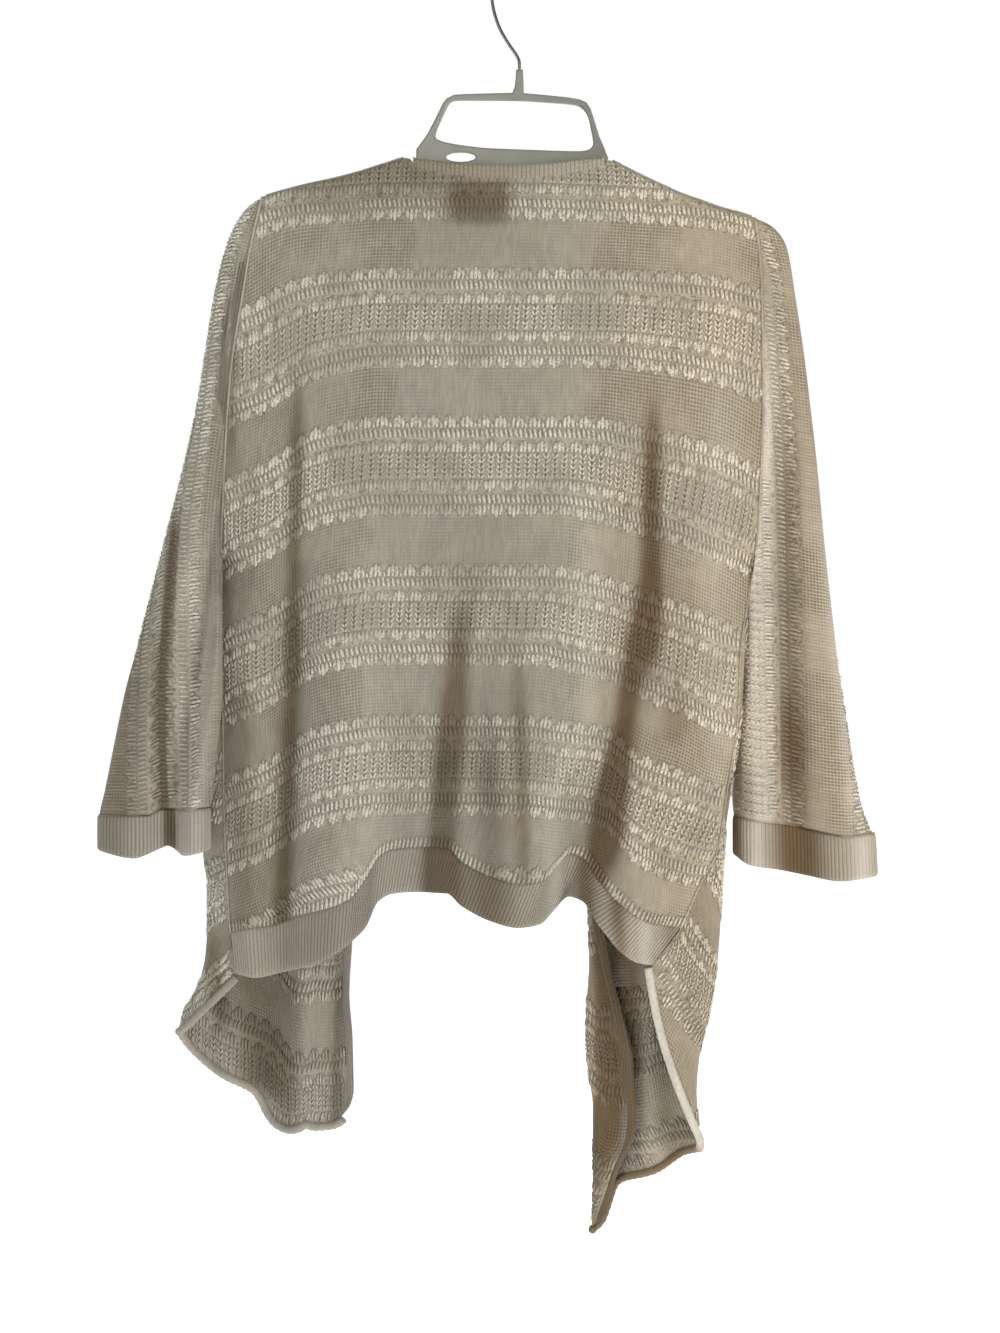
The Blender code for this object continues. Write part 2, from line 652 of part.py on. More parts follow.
def add_wall(name, outer, inward, thickness, material, relief=None, closed=False):
    """One closed wall of cloth. relief moves its outer points out and leaves the inside plain."""
    inner = outer + inward * thickness
    if relief is not None:
        outer = outer - inward * relief[..., None]
    mesh = bmesh.new()
    rows, columns = outer.shape[:2]
    skins = []
    for skin in (outer, inner):
        skins.append([[mesh.verts.new(point * MM) for point in row] for row in skin])
    spans = columns if closed else columns - 1

    def add_patch(a, b, c, d):
        mesh.faces.new((a, b, c))
        mesh.faces.new((a, c, d))

    for skin in skins:
        for i in range(rows - 1):
            for j in range(spans):
                k = (j + 1) % columns
                add_patch(skin[i][j], skin[i][k], skin[i + 1][k], skin[i + 1][j])
    for i in (0, rows - 1):
        for j in range(spans):
            k = (j + 1) % columns
            add_patch(skins[0][i][j], skins[0][i][k], skins[1][i][k], skins[1][i][j])
    if not closed:
        for j in (0, columns - 1):
            for i in range(rows - 1):
                add_patch(skins[0][i][j], skins[0][i + 1][j], skins[1][i + 1][j], skins[1][i][j])
    bmesh.ops.recalc_face_normals(mesh, faces=mesh.faces)
    data = bpy.data.meshes.new(name)
    mesh.to_mesh(data)
    mesh.free()
    data.shade_smooth()
    return add_object(name, data, material)


def add_wire(name, points, radius, resolution, material):
    """A round cord or wire along points."""
    data = bpy.data.curves.new(name, "CURVE")
    data.dimensions = "3D"
    data.bevel_depth = radius * MM
    data.bevel_resolution = resolution
    data.use_fill_caps = True
    spline = data.splines.new("POLY")
    spline.points.add(len(points) - 1)
    for target, point in zip(spline.points, points):
        target.co = (*(np.asarray(point) * MM), 1.0)
    return add_object(name, data, material)


def add_outline(data, points):
    """One closed outline of a flat shape."""
    spline = data.splines.new("POLY")
    spline.points.add(len(points) - 1)
    for target, (x, z) in zip(spline.points, points):
        target.co = (x * MM, z * MM, 0.0, 1.0)
    spline.use_cyclic_u = True


def rounded(points, times=1):
    """A closed outline with its corners cut."""
    points = np.array(points, float)
    for _ in range(times):
        after = np.roll(points, -1, axis=0)
        pairs = np.stack([0.8 * points + 0.2 * after, 0.2 * points + 0.8 * after], axis=1)
        points = pairs.reshape(-1, 2)
    return points


def arm_top(start_x, end_x):
    """Points along an arm's upper edge, just under the cloth of the shoulder."""
    xs = np.linspace(start_x, end_x, ARM_POINTS)
    return list(zip(xs, curve(SHOULDER_LINE, xs) - WALL - ARM_CLEARANCE))


def build_back(cloth, cream):
    points = back_points()
    inward = back_inward(points)
    add_wall("back", points, inward, WALL, cloth)

    rib, ways = hem_points(points, inward)
    raised = RIB_RELIEF * (np.arange(rib.shape[1]) % 2)
    add_wall("hem_rib", rib, ways, WALL, cream, relief=np.broadcast_to(raised, rib.shape[:2]))

    within = (points[0, :, 0] < NECK["left"] - 2.0) & (points[0, :, 0] > NECK["right"] + 2.0)
    edge = points[0, within]
    height = curve(NECK_BAND_HEIGHT, edge[:, 0])
    across = np.broadcast_to(np.array([0.0, 0.0, 1.0]), edge.shape)
    band = strip_points(edge, across, height)
    ways = np.broadcast_to(np.array([0.0, -1.0, 0.0]), band.shape)
    add_wall("neck_band", band, ways, BAND_WALL, cream)

    columns = (points[0, :, 0] > LABEL_SPAN[0]) & (points[0, :, 0] < LABEL_SPAN[1])
    first, last = LABEL_ROWS
    under = points[first : last + 1, columns]
    ways = inward[first : last + 1, columns]
    add_wall("neck_label", under + ways * (WALL + GAP), ways, LABEL_WALL, cream)


def build_front(side, cloth, cream, white):
    points = front_points(side)
    inward = front_inward(side, points)
    add_wall(f"front_{side}", points, inward, WALL, cloth)

    edge = points[BAND_FIRST_ROW:, -1]
    across = edge - points[BAND_FIRST_ROW:, -2]
    across /= np.linalg.norm(across, axis=-1, keepdims=True)
    band = strip_points(edge, across, np.full(len(edge), BAND_WIDTH))
    ways = np.broadcast_to(inward[BAND_FIRST_ROW:, -1], band.shape)
    add_wall(f"front_band_{side}", band, ways, BAND_WALL, cream)

    below = beside(points[-1], inward[-1], points[-1] - points[-2])
    route = points[-1] + inward[-1] * WALL / 2 + below * (BINDING_RADIUS + 2 * GAP)
    add_wire(f"hem_binding_{side}", route, BINDING_RADIUS, 2, white)


def build_sleeve(side, cloth, cream):
    points = sleeve_points(side)
    add_wall(f"sleeve_{side}", points, sleeve_inward(side, points), WALL, cloth, closed=True)
    cuff = cuff_points(side)
    raised = RIB_RELIEF * (np.arange(CUFF_POINTS) % 2)
    relief = np.broadcast_to(raised, cuff.shape[:2])
    add_wall(f"cuff_{side}", cuff, levelled(tube_inward(cuff)), WALL, cream, relief=relief, closed=True)


def build_hanger(plastic, steel):
    data = bpy.data.curves.new("hanger_body", "CURVE")
    data.dimensions = "2D"
    data.fill_mode = "BOTH"
    data.extrude = (PLASTIC_HALF - PLASTIC_ROUND) * MM
    data.bevel_depth = PLASTIC_ROUND * MM
    data.bevel_resolution = 0
    data.offset = -PLASTIC_ROUND * MM
    left_arm = [ARM_TIP["left"]] + arm_top(213, 113)
    right_arm = arm_top(-101, -193) + [ARM_TIP["right"]]
    outline = left_arm + list(HANGER_CENTRE) + right_arm + list(HANGER_UNDERSIDE)
    add_outline(data, outline)
    add_outline(data, rounded(HANGER_WINDOW))
    slot_x, slot_z, half_length, half_height = HANGER_SLOT
    turns = [i * math.tau / 12 for i in range(12)]
    slot = [(slot_x + half_length * math.cos(a), slot_z + half_height * math.sin(a)) for a in turns]
    add_outline(data, slot)
    body = add_object("hanger_body", data, plastic)
    body.rotation_euler = (math.pi / 2, 0.0, 0.0)

    centre_z = ROD_TO_WIRE_CENTRE - HOOK_RADIUS
    angles = np.radians(np.linspace(HOOK_END_ANGLE, HOOK_START_ANGLE, 20))[:-1]
    loop = [(-HOOK_RADIUS * math.cos(a), 0.0, centre_z + HOOK_RADIUS * math.sin(a)) for a in angles]
    stem = [(x, 0.0, z) for x, z in HOOK_STEM]
    add_wire("hanger_hook", loop + stem, WIRE_RADIUS, 2, steel)


def main():
    for obj in list(bpy.data.objects):
        bpy.data.objects.remove(obj)
    collection = bpy.data.collections.new(COLLECTION)
    bpy.context.scene.collection.children.link(collection)
    cloth = named_material("open_knit", CREAM, 0.9)
    cream = named_material("plain_knit", CREAM, 0.85)
    white = named_material("rolled_edge", WHITE, 0.85)
    plastic = named_material("clear_plastic", (0.9, 0.92, 0.92), 0.1, transmission=0.9)
    steel = named_material("hook_steel", (0.25, 0.24, 0.23), 0.35, metallic=1.0)
    build_back(cloth, cream)
    for side in SIDES:
        build_front(side, cloth, cream, white)
        build_sleeve(side, cloth, cream)
    build_hanger(plastic, steel)


main()
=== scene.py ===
"""Open-knit waterfall cardigan on a clear plastic hanger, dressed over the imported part.

The surfaces repeat the solids' functions at a finer step. Each carries knit coordinates:
the wale is a length along a knitted course, and the course is a length across the courses.
Stitches are laid out in those coordinates and set on the surface. Lengths and tables are in
millimetres until a mesh is made. A table's first line names its columns. The back faces +Y.
"""

import math

import bpy
import mathutils
import numpy as np
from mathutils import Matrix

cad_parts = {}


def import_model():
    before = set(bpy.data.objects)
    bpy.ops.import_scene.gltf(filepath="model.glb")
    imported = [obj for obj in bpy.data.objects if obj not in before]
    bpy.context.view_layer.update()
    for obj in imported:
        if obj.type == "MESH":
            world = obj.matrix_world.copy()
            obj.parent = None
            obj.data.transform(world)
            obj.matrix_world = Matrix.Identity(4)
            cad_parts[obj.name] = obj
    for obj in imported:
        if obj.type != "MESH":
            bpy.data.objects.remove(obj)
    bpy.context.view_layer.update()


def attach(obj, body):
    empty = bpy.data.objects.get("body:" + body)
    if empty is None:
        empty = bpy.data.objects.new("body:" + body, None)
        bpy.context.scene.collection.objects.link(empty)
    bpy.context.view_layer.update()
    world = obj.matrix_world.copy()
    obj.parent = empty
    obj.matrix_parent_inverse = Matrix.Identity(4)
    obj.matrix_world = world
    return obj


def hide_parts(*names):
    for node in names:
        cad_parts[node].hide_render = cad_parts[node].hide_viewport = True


MM = 0.001

# Cloth and seams, as in the solids
WALL = 2.0
GAP = 0.3
BAND_WALL = 2.5
BAND_WIDTH = 9.0
BINDING_RADIUS = 2.6
LABEL_WALL = 0.8
SIDES = ("left", "right")
OUTWARD = {"left": 1.0, "right": -1.0}
UNDERARM_Z = -512.0
ARMHOLE_DEPTH = 9.0
ARMHOLE_ROUND = 30.0
SHOULDER_ROUND = 6.0
SIDE_SEAM_DEPTH = 12.0
SIDE_SEAM_TURN = 80.0
NECK = {"left": 96.0, "right": -76.0}
NECK_BLEND = 4.0

# How far a front is tucked in at the body's side, and the share of its fall by which it is
SIDE_TUCK = {"left": 0.0, "right": 12.0}
TUCKED_BY = 0.3
# Rise of the opening edge against the underarm, depth of a front's first row as a share of the
# full depth, and the y past which a front's folds count
OPENING_RISE = 10.0
FIRST_TURN = 0.15
FAR_LAYER = -4.0
# Shares of the back's and a front's width beside a seam over which folds fade in, and how
# square the back's crown is
SEAM_CALM = 0.05
FRONT_CALM = 0.2
CROWN_POWER = 9

ROD_TO_WIRE_CENTRE = 1.4
HOOK_RADIUS = 24.3
WIRE_RADIUS = 1.4

# Tubes and bands that are fuller than the solids, and how far a plain band goes under its panel
ROLL_RADIUS = 3.5
BAND_TUCK = 0.8

# Finer steps than the solids have
BACK_COLUMNS = 132
FRONT_COLUMNS = 64
SIDE_ROWS = 70
BAND_ROWS = 14
RIB_PITCH = 3.3
RIB_STEPS = 6
NEAR_SHOULDER = (0, 0.001, 0.0025, 0.004, 0.007, 0.01, 0.014, 0.02, 0.027, 0.035, 0.048, 0.064)
NEAR_UNDERARM = (0.965, 0.977, 0.985, 0.992, 1.0)
ARMHOLE_ROWS = (*NEAR_SHOULDER, *np.linspace(0.08, 0.95, 62), *NEAR_UNDERARM)
SLEEVE_STEPS = (0, 0.004, 0.008, *np.linspace(0.014, 0.99, 86), 0.996, 1)

# The knit: a whole repeat's height and a lump's width, the plain mesh's pitches, how far the
# net lies under the stitches' feet, and how far below the mount one band's middle lies
REPEAT = 126.65
TOOTH = 14.4
MESH_WALE = 2.75
MESH_COURSE = 2.9
GROUND_DEPTH = 0.7
BAND_PHASE = {"back": 51.85, "front_left": 91.5, "front_right": 42.9}
SLEEVE_LUMPS = {
    # z, distance outward from x = 0 of one line of a band's outer lumps, down a sleeve's back
    "left": (
        (-200, 222.5), (-233, 236.5), (-260, 244.5), (-318, 253.5), (-372, 258.5), (-441, 266.5),
        (-502, 271), (-546, 271), (-665, 271), (-720, 270),
    ),
    "right": ((-218, 208), (-279, 223), (-370, 231), (-460, 236), (-581, 239), (-745, 242)),
}
# The course of that line of lumps, and the last band that a sleeve has
LUMPS_COURSE = {"left": 42.0, "right": -42.0}
LAST_SLEEVE_BAND = {"left": 0, "right": math.inf}
# A course near the outer edge, where a sleeve's front side turns into its back
OUTER_EDGE_COURSE = {"left": 0.0, "right": -80.0}
# Share of the way from a sleeve's inner edge where its cloth starts to turn round the outer one
ROUND_EDGE_FROM = 0.75
SLEEVE_FOLD = (
    # z, x of the fold that takes in some of the left sleeve's knit
    (-420, 289), (-512, 294.5), (-580, 300), (-648, 302.5), (-699, 301), (-760, 297),
)
# The fold hides this width of cloth, from its head down, after a length in which it deepens
FOLD_HIDES = {"left": 22.0, "right": 0.0}
FOLD_WIDTH = 9.0
FOLD_HEAD_Z = -420.0
FOLD_DEEPENS = 90.0
LATTICE_STEP = 2.0
# The course of a front's hem if its courses ran along it, and how far they turn towards that
FRONT_TILT = {"left": (1000.0, 0.75), "right": (1060.0, 0.5)}
TILTS_FROM = 0.3

STITCHES = (
    # pitch, first wale, half width, half height, path of wale and distance from the band's middle
    (4.11, 0.0, 1.5, 1.0, ((0.7, 24.8), (0.0, 28.0), (-0.7, 31.0))),
    (TOOTH, 0.0, 1.9, 1.0, ((0.0, 12.6), (0.1, 16.6), (0.0, 20.4))),
    (TOOTH, 0.0, 1.8, 0.95, ((-3.3, 12.8), (-3.5, 15.8), (-2.9, 19.0))),
    (TOOTH, 0.0, 1.8, 0.95, ((3.3, 12.8), (3.5, 15.8), (2.9, 19.0))),
    (TOOTH, TOOTH / 2, 1.3, 0.8, ((-0.4, 12.6), (0.0, 14.0), (0.4, 15.4))),
    (TOOTH, TOOTH / 2, 2.0, 1.0, ((0.0, 33.8), (0.1, 38.0), (0.0, 42.2))),
    (TOOTH, TOOTH / 2, 1.8, 0.95, ((-3.5, 33.6), (-3.7, 36.8), (-2.9, 40.4))),
    (TOOTH, TOOTH / 2, 1.8, 0.95, ((3.5, 33.6), (3.7, 36.8), (2.9, 40.4))),
    (TOOTH, 0.0, 1.4, 0.8, ((0.3, 33.2), (0.0, 34.8), (-0.3, 36.4))),
)

# Rows in the net, by their distance from a band's middle
MESH_BEGINS = (40.0, 44.5)
PIT_ROW = 20.4
PIT_HALF_WIDTH = 2.2
PIT_HALF_HEIGHT = 2.6
SPECK_ROWS = ((20.5, 4.0), (39.5, 6.5))
SCALLOP_TIP = 48.0
SCALLOP_DEPTH = 10.5
LADDER_ROW = 28.0
BRIM_ROW = 11.6

# How thin a strand's ends are, how flat strands lie on cloth seen edge on, and how far a
# strand and its place may stray
STRAND_END = 0.72
EDGE_ON = 0.3
STRAY_WALE = 0.2
STRAY_COURSE = 0.25
STRAY_LIFT = (-0.15, 0.25)
PLY_SWELL = 0.07

CHEVRON_PITCH = 7.8
CHEVRON_ROWS = (-8.4, -4.2, 0.0, 4.2, 8.4)
CHEVRONS = (
    # half width, half height, path of wale and course
    (1.4, 1.0, ((-2.4, -1.5), (-0.9, 1.3))),
    (1.4, 1.0, ((2.4, -1.5), (0.9, 1.3))),
)

# Shade painted into the cloth's colour, mostly along its folds and creases, and highlights painted
# on its lit ridges and lobes
SHADES = {
    # x and z at the head, x and z at the foot, half width, how dark the painted shade is; a painted
    # highlight is below 0
    "back": (
        (187, -300, 193, -560, 8, 0.80),
        (190, -520, 202, -830, 9, 0.90),
        (243, -225, 246, -400, 6, 0.60),
        (228, -380, 233, -620, 15, 0.30),
        (236, -580, 232, -830, 20, 0.50),
        (110, -60, 110, -190, 140, 0.60),
        (17, -182, 17, -218, 10, 0.50),
        (35, -182, 35, -218, 12, 0.55),
        (53, -182, 53, -218, 10, 0.50),
        (40, -206, 40, -250, 95, 0.24),
        (30, -420, 36, -560, 44, 0.25),
        (44, -500, 74, -830, 13, 1.20),
        (28, -600, 22, -820, 17, 0.62),
        (4, -540, -4, -760, 9, 0.65),
        (-113, -330, -111, -560, 10, 0.95),
        (-110, -500, -78, -720, 12, 1.00),
        (-84, -640, -56, -830, 12, 1.00),
        (-134, -480, -138, -680, 16, 0.28),
        (-134, -620, -128, -660, 14, 0.30),
        (134, -380, 126, -760, 24, -0.22),
        (-52, -380, -58, -660, 20, -0.30),
        (-172, -230, -168, -660, 24, -0.30),
        (-30, -640, -26, -800, 14, -0.30),
        (160, -740, 160, -830, 22, -0.20),
    ),
    "front_left": (
        (236, -810, 222, -950, 24, 0.80),
        (264, -800, 258, -900, 9, 0.60),
        (196, -800, 200, -1000, 16, 0.45),
        (157, -820, 158, -1000, 8, 0.60),
        (245, -840, 245, -862, 12, -0.45),
    ),
    "front_right": (
        (-74, -740, -76, -980, 14, 1.20),
        (-98, -780, -96, -940, 12, 0.80),
        (-66, -960, -64, -1080, 10, 0.60),
        (-148, -700, -146, -1040, 20, 0.25),
    ),
    "sleeve_left": (
        (289, -430, 302, -620, 5, 1.20),
        (303, -560, 301, -790, 5, 1.20),
        (320, -440, 342, -780, 24, 0.60),
        (268, -400, 276, -760, 22, -0.32),
        (254, -470, 260, -720, 5, 0.15),
        (262, -230, 262, -330, 14, 0.20),
    ),
    "sleeve_right": (
        (-228, -320, -230, -640, 11, 0.60),
        (-230, -600, -240, -780, 13, 0.60),
        (-188, -640, -188, -760, 8, 0.50),
        (-205, -230, -208, -680, 12, -0.90),
        (-252, -400, -284, -700, 12, -0.50),
    ),
    "cuff_left": (
        (298, -690, 296, -800, 5, 1.50), (346, -660, 346, -800, 22, 0.55),
        (272, -690, 271, -800, 12, -0.28),
    ),
    "cuff_right": (
        (-184, -650, -186, -775, 6, 0.90), (-232, -650, -240, -800, 22, 1.10),
        (-202, -650, -202, -780, 9, -0.60), (-288, -650, -290, -800, 12, -0.60),
    ),
    "hem_rib": (
        (66, -660, 68, -840, 15, 1.50), (26, -660, 26, -860, 28, 0.75),
        (-56, -660, -56, -850, 11, 0.85), (-78, -740, -86, -880, 8, 0.70),
        (-30, -700, -28, -830, 10, -0.40), (170, -700, 170, -900, 40, 0.40),
        (-104, -780, -106, -870, 9, -0.40), (-128, -780, -128, -870, 9, 0.50),
    ),
    "front_band_left": ((152, -800, 152, -1020, 20, 0.45),),
    "front_band_right": ((-75, -700, -80, -1040, 70, 1.30),),
}

LEFT_DROOP = (
    # x and how much lower most courses hang there, on the left side
    (119, 0), (149, 4.3), (177, 12), (195, 24), (215, 38), (232, 45), (247, 52), (256, 60),
)
DROOP = (
    # course at the middle of the back, then x and how much lower that course hangs there
    (140, ((-204, 18), (-164, 9), (-121, 5), (-40, 1.5), (20, 0), (119, 0), (195, 4), (222, 13),
           (239, 28))),
    (206, ((-204, 21), (-164, 10), (-121, 6), (-40, 1.5), (20, 0), (119, 1), (152, 3.4), (195, 6),
           (210, 10), (222, 15), (231, 22), (239, 31))),
    (275, ((-204, 17), (-190, 12), (-164, 6), (-121, 2.6), (-60, 0), (119, 0), (144, 1.7),
           (177, 6), (198, 13.6), (213, 22), (224, 29), (240, 36))),
    (332, ((-204, 27), (-190, 20.4), (-164, 12), (-121, 4.3), (-68, 0), *LEFT_DROOP)),
    (401, ((-204, 46), (-169, 27), (-138, 18), (-104, 9.4), (-69, 1.7), (-34, 0), *LEFT_DROOP)),
    (458, ((-204, 56), (-181, 44), (-156, 33), (-124, 20), (-100, 15), (-69, 6), (-34, 0),
           *LEFT_DROOP)),
    (530, ((-200, 58), (-164, 44), (-147, 37), (-121, 27), (-91, 16), (-60, 6), (-21, 0),
           *LEFT_DROOP)),
    (586, ((-190, 62), (-167, 57.8), (-133, 39), (-112, 31.5), (-83, 16), (-41, 6), (-17, 0),
           *LEFT_DROOP)),
    (660, ((-180, 62), (-167, 59.5), (-133, 46), (-101, 34), (-71, 9.4), (-32, 4.3), (-9, 0),
           *LEFT_DROOP)),
    (719, ((-170, 64), (-150, 62), (-99, 42), (-71, 12), (-32, 4.3), (0, 0), *LEFT_DROOP)),
)

SHOULDER_LINE = (
    # x, z
    (219, -200), (204, -195.5), (183, -190), (160, -185), (137, -179), (115, -172), (96, -167),
    (-76, -169), (-90, -175), (-104, -182), (-121, -190), (-139, -198), (-156, -204), (-173, -210),
    (-190, -214.5), (-200, -218),
)

NECK_LINE = (
    # x, z
    (96, -167), (88, -175), (76, -178.5), (55, -183), (34, -184.5), (3, -185.5), (-29, -183),
    (-50, -179), (-68, -175), (-76, -169),
)

SEAM_LINE = {
    # z, x: armhole seam down to the underarm, then the side seam
    "left": (
        (-200, 219), (-243, 229), (-285, 236), (-359, 247), (-461, 253), (-512, 255), (-600, 253),
        (-700, 252), (-760, 250), (-829, 246), (-863, 242),
    ),
    "right": (
        (-218, -200), (-250, -204), (-285, -206), (-371, -207), (-461, -204), (-512, -200),
        (-586, -188), (-647, -185), (-708, -176), (-761, -167), (-779, -157), (-810, -143),
        (-825, -136), (-856, -112),
    ),
}
SHOULDER_END = {"left": (219, -200), "right": (-200, -218)}
BACK_CORNER_Z = {"left": -829.0, "right": -825.0}
FRONT_CORNER_Z = {"left": -863.0, "right": -856.0}

HEM_SEAM = (
    # x, z
    (246, -829), (233, -825), (208, -822), (185, -813), (160, -806), (144, -799), (130, -781),
    (120, -764), (108, -758), (85, -757), (62, -757), (50, -768), (25, -780), (0, -786),
    (-17, -784), (-30, -772), (-41, -762), (-52, -765), (-66, -784), (-85, -804), (-106, -818),
    (-136, -825),
)

HEM_FOOT = (
    # x, z
    (242, -863), (224, -865), (208, -863), (189, -858), (166, -850), (145, -836), (130, -822),
    (120, -801), (108, -795), (85, -794), (62, -794), (50, -804), (25, -816), (0, -822),
    (-17, -820), (-30, -808), (-41, -797), (-52, -800), (-66, -820), (-85, -842), (-100, -853),
    (-112, -856),
)

BACK_DEPTH = (
    # z, y
    (-160, 7), (-230, 9), (-330, 13), (-450, 18), (-600, 23), (-760, 27), (-860, 28),
)

FRONT_DEPTH = (
    # z, y
    (-160, -7), (-230, -12), (-400, -19), (-512, -24), (-760, -28), (-900, -30), (-1090, -24),
)

BACK_FOLDS = (
    # x and z at the head, x and z at the foot, half width, depth towards the back
    (184, -400, 203, -840, 13, -13),
    (226, -430, 232, -850, 15, 7),
    (150, -470, 150, -850, 27, 12),
    (74, -560, 86, -800, 24, -20),
    (66, -460, 66, -620, 10, 5),
    (10, -580, 2, -800, 30, 15),
    (36, -540, 34, -700, 16, -9),
    (-50, -660, -50, -800, 19, -8),
    (-110, -370, -86, -601, 18, -13),
    (-86, -601, -52, -740, 17, -11),
    (-150, -420, -138, -640, 20, 8),
    (-100, -660, -96, -850, 20, 15),
)

FRONT_FOLDS = {
    # x and z at the head, x and z at the foot, half width, depth towards the back
    "left": (
        (182, -300, 187, -1000, 12, 9),
        (214, -420, 222, -1000, 14, -8),
        (150, -420, 163, -1000, 10, -7),
        (246, -600, 252, -960, 12, 6),
    ),
    "right": (
        (-100, -300, -112, -1030, 13, 10),
        (-140, -420, -138, -1030, 14, -8),
        (-70, -420, -82, -1030, 9, -7),
    ),
}

TURN_LINE = {
    # z, x: where a front turns round the side of the body
    "left": (
        (-512, 255), (-600, 258), (-700, 266), (-763, 272), (-785, 268), (-815, 268), (-848, 270),
        (-879, 278), (-895, 288), (-911, 292),
    ),
    "right": (
        (-512, -200), (-586, -194), (-647, -192), (-708, -184), (-761, -178), (-853, -177),
        (-897, -172), (-936, -163), (-975, -159), (-1007, -160),
    ),
}

# How far a front's near hem bows outward between its seam and its turn
NEAR_HEM_BOW = {"left": 0.0, "right": 8.0}
# Shade painted on a rolled hem before and after it turns, and the points over which it changes
ROLL_SHADES = {"left": (0.6, 0.5), "right": (0.0, 0.85)}
ROLL_CHANGES_OVER = 12.0

OPENING_LINE = {
    # z, x: the opening edge, or the fold where the edge is curled back
    "left": (
        (-167, 96), (-250, 99), (-350, 112), (-450, 128), (-550, 139), (-650, 144), (-750, 146),
        (-845, 150), (-890, 152), (-930, 149), (-978, 148), (-989, 151),
    ),
    "right": (
        (-169, -76), (-250, -72), (-350, -62), (-450, -52), (-550, -49), (-650, -51), (-750, -55),
        (-853, -59), (-923, -56), (-962, -58), (-992, -62), (-1038, -62), (-1080, -61),
    ),
}

# Shares of a fold's length over which it fades in at its head and out past its foot
HEAD_FADE = 0.45
FOOT_FADE = 0.35

CURL = (
    # z, width of the right front's edge that is curled back, distance towards the back
    (-660, 0, 0), (-700, 0.5, 4), (-740, 1, 8), (-780, 2, 12), (-820, 5, 15), (-860, 13, 17),
    (-900, 24, 19), (-940, 33, 20), (-1000, 30, 20), (-1040, 17, 17), (-1080, 4, 10),
)

FRONT_HEM = {
    # x, z on the front's far layer, from its turn to its opening edge
    "left": (
        (292, -911), (288, -918), (278, -931), (265, -943), (252, -952), (238, -960), (228, -967),
        (221, -977), (215, -989), (208, -996), (199, -999), (190, -997), (186, -993), (178, -996),
        (166, -997), (156, -994), (151, -988),
    ),
    "right": (
        (-160, -1007), (-155, -1011), (-138, -1019), (-121, -1029), (-105, -1035), (-90, -1040),
        (-79, -1048), (-74, -1062), (-68, -1078), (-61, -1084),
    ),
}

SLEEVE_RAILS = {
    # step, inner x, inner y, inner z, outer x, outer y, outer z
    "left": (
        (0.0, 255, 0, -512, 219, 0, -200), (0.04, 254.8, 3, -518, 235, 0, -213),
        (0.1, 253.8, 9, -528, 247, 1, -233),
        (0.2, 252.3, 16, -550, 260, 2, -280), (0.3, 251.5, 20.5, -575, 268, 3, -330),
        (0.4, 251, 23, -598, 277, 4, -385), (0.5, 251, 24.5, -620, 288, 5, -435),
        (0.6, 252, 25, -641, 302, 6, -490), (0.7, 254, 25, -661, 318, 7, -553),
        (0.8, 256, 25, -681, 334, 8, -612), (0.9, 259, 25, -701, 352.5, 8, -672),
        (0.95, 260.5, 25, -711, 358, 8, -700), (1.0, 262, 25, -721, 359, 8, -728),
    ),
    "right": (
        (0.0, -200, 0, -512, -200, 0, -218), (0.04, -198.6, -1, -520, -216, 0, -226),
        (0.1, -196.2, -2, -532, -228, 0, -243),
        (0.2, -192.3, -5, -556, -236, 1, -288), (0.3, -189, -8, -580, -243, 2, -335),
        (0.4, -187.4, -9, -603, -249, 3, -385), (0.5, -186.8, -10, -625, -254, 4, -430),
        (0.6, -184.5, -10, -646, -260, 5, -495), (0.7, -182, -10, -667, -267, 6, -560),
        (0.8, -181, -10, -688, -275, 6, -623), (0.9, -181.5, -9, -708, -290, 7, -688),
        (0.95, -182.5, -8.5, -718.5, -298.5, 7.5, -715.5), (1.0, -183, -8, -729, -302, 8, -743),
    ),
}

SLEEVE_LOBES = {
    # share of the way across from the inner edge, depth towards the back at the wrist
    "left": ((0, 0), (0.14, 4), (0.31, -15), (0.44, -6), (0.68, 6), (1, 0)),
    "right": ((0, 0), (0.15, 6), (0.44, -9), (0.76, 8), (1, 0)),
}

# Steps down a sleeve by which it has opened from its seam and its lobes are full, and from
# which its rings turn to the cuff's level
SLEEVE_OPEN_BY = 0.15
LOBES_FULL_BY = 0.7
LEVELS_FROM = 0.8
# How far from its edges a sleeve is round, as a share of its width
ROUND_INNER = 0.1
ROUND_OUTER = (0.03, 0.12)

SLEEVE_HALF = (
    # step, half thickness
    (0, 9), (0.5, 10), (1, 11),
)

CUFF_HEAD = {
    # share across from the inner edge, z
    "left": ((0, -721), (0.28, -723), (0.42, -723), (0.55, -728), (1, -728)),
    "right": ((0, -729), (0.13, -733), (0.35, -736), (0.53, -741), (0.8, -746), (1, -743)),
}

CUFF_FOOT = {
    # share across from the inner edge, z
    "left": (
        (0, -757), (0.12, -760), (0.24, -762), (0.38, -754), (0.46, -757), (0.66, -764), (1, -758),
    ),
    "right": ((0, -763), (0.1, -771), (0.3, -775), (0.5, -780), (0.72, -784), (1, -780)),
}
CUFF_ENDS = {"left": (262, 359), "right": (-183, -304)}

# How a rib and a plain band swell, in millimetres proud of the cloth's outer side. A rib is
# rounded off over these shares of its length, at its head and its foot.
RIB_FOOT = 0.35
RIB_RISE = 0.9
RIB_SUNK = 0.2
RIB_INSIDE = 0.5
RIB_HOLLOW = 0.6
RIB_ROUNDED = (0.1, 0.08)
PLAIN_RISE = 0.7
PLAIN_SUNK = 0.3

NECK_BAND_HEIGHT = (
    # x, height
    (-76, 4), (-62, 8), (-30, 11), (10, 12), (50, 11), (82, 8), (96, 4),
)
LABEL_SPAN = (7, 62)
LABEL_ROWS = (0.035, 0.08)
LABEL_BAR = (-0.2125, -0.2045)

